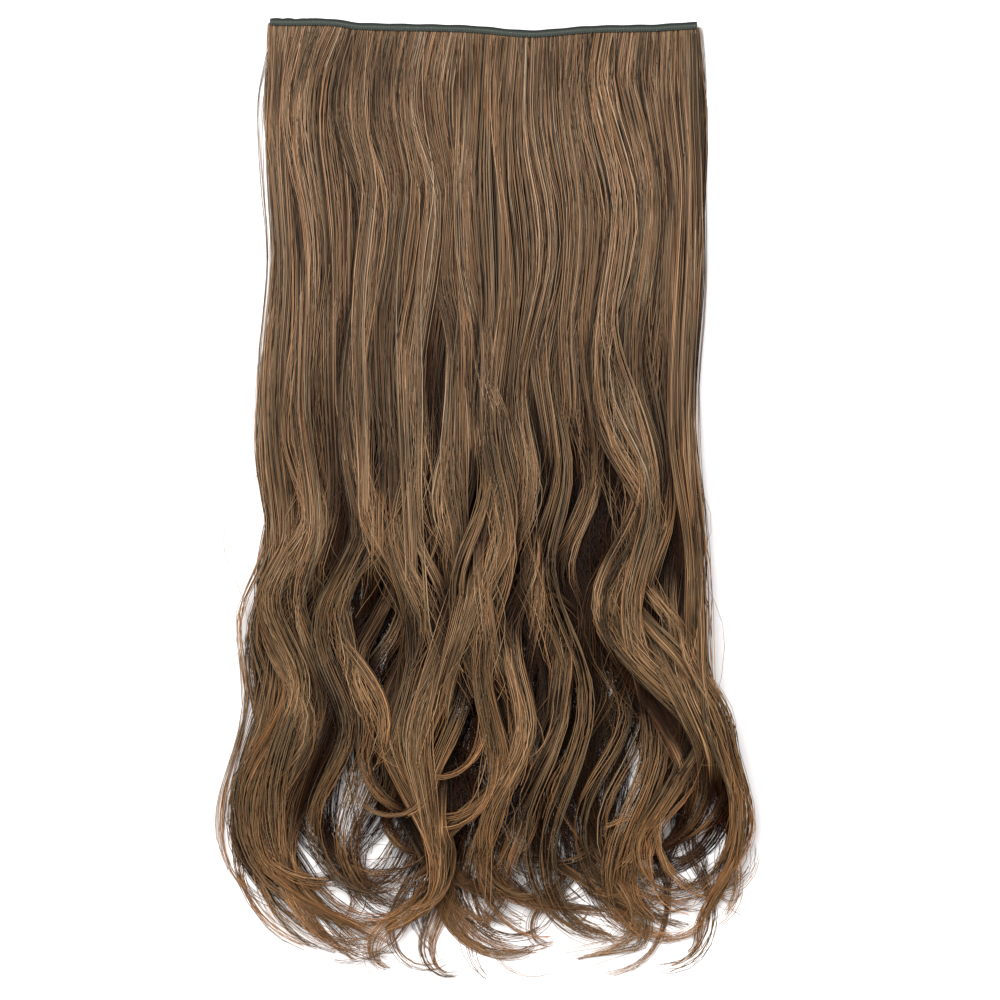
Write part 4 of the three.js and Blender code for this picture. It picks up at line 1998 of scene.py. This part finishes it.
class StitchTool(NodeTool):
    """Geometry Nodes that set arched stitches along a seam."""

    sizes = ("Pitch", "Along", "Aside", "Rise", "Radius")
    sides = 5
    arch_steps = 4
    crown_rise = 1.5

    def __init__(self) -> None:
        """Write the tree: a stitch stands on the seam at every pitch, turned along it."""
        kinds = {name: "NodeSocketFloat" for name in self.sizes}
        super().__init__("seam_stitches", {**kinds, "Thread": "NodeSocketMaterial"})
        sheet = self.sheet
        seam = sheet.add("GeometryNodeMeshToCurve", {}, {"Mesh": self.given("Lines")})
        places = sheet.add(
            "GeometryNodeResampleCurve", {"mode": "LENGTH"}, {"Curve": seam, "Length": self.given("Pitch")}
        )
        bend = {"Start": self.end(-0.5), "Middle": self.crown(), "End": self.end(0.5)}
        arch = sheet.add("GeometryNodeCurveQuadraticBezier", {}, {"Resolution": self.arch_steps, **bend})
        round_thread = {"Resolution": self.sides, "Radius": self.given("Radius")}
        ring = sheet.add("GeometryNodeCurvePrimitiveCircle", {}, round_thread)
        stitch = sheet.add(
            "GeometryNodeCurveToMesh", {}, {"Curve": arch, "Profile Curve": ring, "Fill Caps": True}
        )
        tangent = sheet.add("GeometryNodeInputTangent")
        turn = sheet.add("FunctionNodeAlignRotationToVector", {"axis": "X"}, {"Vector": tangent})
        stitches = sheet.add(
            "GeometryNodeInstanceOnPoints", {}, {"Points": places, "Instance": stitch, "Rotation": turn}
        )
        self.close(stitches, "Thread")

    def end(self, side: float) -> Value:
        """Find where a stitch goes into the cloth.

        Args:
            side: -0.5 for its start or 0.5 for its end.

        Returns:
            The place, seen from the stitch's middle.
        """
        along, aside, rise = (self.given(name) for name in ("Along", "Aside", "Rise"))
        spot = {"X": along * side, "Y": aside * side, "Z": rise * -1.0}
        return self.sheet.add("ShaderNodeCombineXYZ", {}, spot)

    def crown(self) -> Value:
        """The point that pulls a stitch's arch up."""
        return self.sheet.add("ShaderNodeCombineXYZ", {}, {"Z": self.given("Rise") * self.crown_rise})


@dataclass(frozen=True)
class StitchRow:
    """One row of stitches on the tape, in mm; across is its place above the middle line."""

    name: str
    across: float
    pitch: float
    along: float
    aside: float
    rise: float = 0.16
    radius: float = 0.16
    end_gap: float = 1.0
    seam_step: float = 1.0

    def build(self, tool: StitchTool, height: float, thread: bpy.types.Material) -> bpy.types.Object:
        """Sew the row.

        Args:
            tool: sets the stitches.
            height: the cloth's top.
            thread: their finish.

        Returns:
            The piece.
        """
        reach = TAPE_LINE.width / 2 - self.end_gap
        x = np.arange(-reach, reach, self.seam_step)
        places = np.column_stack([x, TAPE_LINE.y(x) + self.across, np.full(len(x), height)]) * MM
        seam = bpy.data.meshes.new(self.name + "_seam")
        seam.from_pydata(places.tolist(), [(k, k + 1) for k in range(len(x) - 1)], [])
        sizes = {name: getattr(self, name.lower()) * MM for name in tool.sizes}
        obj = tool.make(self.name, seam, {**sizes, "Thread": thread})
        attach(obj, BODY)
        return obj


STITCH_ROWS = (
    StitchRow("tape_seam_stitches", across=-0.2, pitch=3.0, along=2.2, aside=0.0),
    StitchRow("tape_edge_stitches", across=-1.9, pitch=1.6, along=0.15, aside=1.2),
)


@dataclass
class WeftTape:
    """Folded tape that holds the roots, in mm."""

    stations: int = 412
    bottom: float = 3.3
    top: float = 8.4
    wall: float = 1.0
    fold_steps: int = 14
    lip_steps: int = 4
    flat_length: float = 11.3
    scallop: float = 0.5
    scallop_pitch: float = 8.5
    scallop_end: float = -112.0
    scallop_fade: float = 3.0
    ripple: float = 0.14
    ripple_length: float = 19.0

    def profile(self) -> tuple[np.ndarray, np.ndarray]:
        """Outline across the tape.

        Returns:
            Points (across, height), and the share of the way round the outside at each.
        """
        lip = -TAPE_LINE.height / 2
        radius = (self.top - self.bottom) / 2
        middle = (self.top + self.bottom) / 2
        fold = TAPE_LINE.height / 2 - radius
        angle = np.linspace(-math.pi / 2, math.pi / 2, self.fold_steps)
        flat = np.linspace(lip, fold, self.lip_steps, endpoint=False)

        def wrap(inset: float) -> np.ndarray:
            """Go round the fold, from the lower lip to the upper one.

            Args:
                inset: depth below the outside.

            Returns:
                Points (across, height).
            """
            bend = np.column_stack([np.cos(angle), np.sin(angle)]) * (radius - inset) + (fold, middle)
            under = np.column_stack([flat, np.full(len(flat), self.bottom + inset)])
            over = np.column_stack([flat[::-1], np.full(len(flat), self.top - inset)])
            return np.vstack([under, bend, over])

        outer = wrap(0.0)
        inner = wrap(self.wall)[::-1]
        share = runs_of(outer)
        share /= share[-1]
        return np.vstack([outer, inner]), np.concatenate([share, share[::-1]])

    def bulge(self, x: np.ndarray) -> np.ndarray:
        """Find how far the folded edge stands out: scallops at the left end, and a slight ripple.

        Args:
            x: places along the tape.

        Returns:
            An offset for each place.
        """
        scallops = np.abs(np.sin(math.pi * (x - self.scallop_end) / self.scallop_pitch)) - 0.5
        left = smoothstep(-x, -self.scallop_end, -self.scallop_end + self.scallop_fade)
        return self.scallop * scallops * left + self.ripple * np.sin(math.tau * x / self.ripple_length)

    def mesh(self) -> bpy.types.Mesh:
        """Sweep the outline along the tape's run, with a cloth map of metres along and share across.

        Returns:
            The closed mesh.
        """
        outline, share = self.profile()
        size = len(outline)
        x = np.linspace(-TAPE_LINE.width / 2, TAPE_LINE.width / 2, self.stations)
        folded = smoothstep(outline[:, 0], -TAPE_LINE.height / 2, TAPE_LINE.height / 2)
        rings = np.empty((self.stations, size, 3))
        rings[:, :, 0] = x[:, None]
        rings[:, :, 1] = TAPE_LINE.y(x)[:, None] + outline[:, 0] + self.bulge(x)[:, None] * folded
        rings[:, :, 2] = outline[:, 1]
        index = np.arange(self.stations * size).reshape(self.stations, size)
        a, b = index[:-1], index[1:]
        quads = np.stack([a, np.roll(a, -1, 1), np.roll(b, -1, 1), b], axis=-1).reshape(-1, 4)
        ends = []
        for k in range(size // 2 - 1):
            ends.append([index[0, k], index[0, size - 1 - k], index[0, size - 2 - k], index[0, k + 1]])
            ends.append([index[-1, k + 1], index[-1, size - 2 - k], index[-1, size - 1 - k], index[-1, k]])
        mesh = bpy.data.meshes.new("weft_tape")
        mesh.from_pydata((rings * MM).reshape(-1, 3).tolist(), [], np.vstack([quads, ends]).tolist())
        cloth = mesh.uv_layers.new(name="cloth")
        corner = np.empty(len(mesh.loops), np.int32)
        mesh.loops.foreach_get("vertex_index", corner)
        uv = np.column_stack([np.repeat(x * MM, size)[corner], np.tile(share, self.stations)[corner]])
        cloth.data.foreach_set("uv", uv.astype(np.float32).ravel())
        mesh.shade_smooth()
        return mesh

    def build(self) -> list[bpy.types.Object]:
        """Make the tape in place of its CAD node, and sew it.

        Returns:
            The tape, then its rows of stitches.
        """
        mesh = self.mesh()
        mesh.materials.append(TapeFinish().material())
        tape = bpy.data.objects.new("weft_tape", mesh)
        bpy.context.scene.collection.objects.link(tape)
        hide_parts("weft_band")
        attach(tape, BODY)
        tool = StitchTool()
        thread = ThreadFinish().material()
        rows = [row.build(tool, self.top, thread) for row in STITCH_ROWS]
        TAPE_LINE.width * MM
        return [tape, *rows]


class Lamp(NamedTuple):
    """A soft square light: its name, its place and side in metres and its power in watts."""

    name: str
    place: tuple[float, float, float]
    side: float
    power: float


LAMPS = (
    Lamp("key", place=(-0.35, 0.25, 1.6), side=0.9, power=46.0),
    Lamp("fill", place=(0.8, -0.8, 1.5), side=1.2, power=14.0),
)


@dataclass
class Studio:
    """White surface, soft lights and the camera straight above, in metres."""

    centre: Point = (0.0106, -0.298)
    view_width: float = 0.64
    lens: float = 100.0
    sensor: float = 36.0
    view_plane: float = 0.012
    floor_size: float = 6.0
    world_light: float = 0.25

    def build(self) -> None:
        """Make the floor, lights, sky and camera."""
        self.add_floor()
        for lamp in LAMPS:
            self.add_light(lamp)
        world = bpy.data.worlds.new("studio")
        world.use_nodes = True
        sky = world.node_tree.nodes["Background"]
        sky.inputs["Color"].default_value = (*WHITE, 1.0)
        sky.inputs["Strength"].default_value = self.world_light
        bpy.context.scene.world = world
        bpy.context.scene.view_settings.view_transform = "Standard"
        self.add_camera()

    def add_floor(self) -> None:
        """Lay the white surface."""
        half = self.floor_size / 2
        mesh = bpy.data.meshes.new("floor")
        corners = [(-half, -half, 0.0), (half, -half, 0.0), (half, half, 0.0), (-half, half, 0.0)]
        mesh.from_pydata(corners, [], [(0, 1, 2, 3)])
        mesh.materials.append(FloorFinish().material())
        floor = bpy.data.objects.new("floor", mesh)
        bpy.context.scene.collection.objects.link(floor)

    def add_light(self, lamp: Lamp) -> None:
        """Hang a light that faces the hair.

        Args:
            lamp: the light.
        """
        light = bpy.data.lights.new(lamp.name, "AREA")
        light.size = lamp.side
        light.energy = lamp.power
        obj = bpy.data.objects.new(lamp.name, light)
        obj.location = lamp.place
        aim = Vector((*self.centre, 0.0)) - Vector(lamp.place)
        obj.rotation_euler = aim.to_track_quat("-Z", "Y").to_euler()
        bpy.context.scene.collection.objects.link(obj)

    def add_camera(self) -> None:
        """Set the camera straight above the hair."""
        camera = bpy.data.cameras.new("camera")
        camera.lens = self.lens
        camera.sensor_width = self.sensor
        obj = bpy.data.objects.new("camera", camera)
        height = self.view_width * self.lens / self.sensor + self.view_plane
        obj.location = (*self.centre, height)
        bpy.context.scene.collection.objects.link(obj)
        bpy.context.scene.camera = obj


def main() -> None:
    """Build every piece, then log the triangles of each built piece and of them all."""
    logging.basicConfig(level=logging.INFO, format="%(name)s: %(message)s")
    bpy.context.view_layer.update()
    Studio().build()
    sweep = HairSweep()
    fibres = {layer: layer.finish.material() for layer in Layer}
    locks = [HairLock(layer, index) for layer in Layer for index in range(layer.count)]
    heights = Heights([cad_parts[lock.name] for lock in locks])
    hair = [lock.piece() for lock in locks]
    hair += [LooseLocks(side).piece(heights) for side in Side]
    hair += [FlyawayHairs().piece(heights), UnderHair().piece()]
    canopy = Canopy([piece.lines for piece in hair])
    built = [piece.build(sweep, canopy, fibres[piece.layer]) for piece in hair]
    built += WeftTape().build()
    SnapClips().dress()
    triangles = {obj.name: len(obj.data.loops) - 2 * len(obj.data.polygons) for obj in built}
    for name, count in triangles.items():
        LOG.info("%s: %d triangles", name, count)
    LOG.info("%d triangles in all", sum(triangles.values()))


if __name__ == "__main__":
    main()
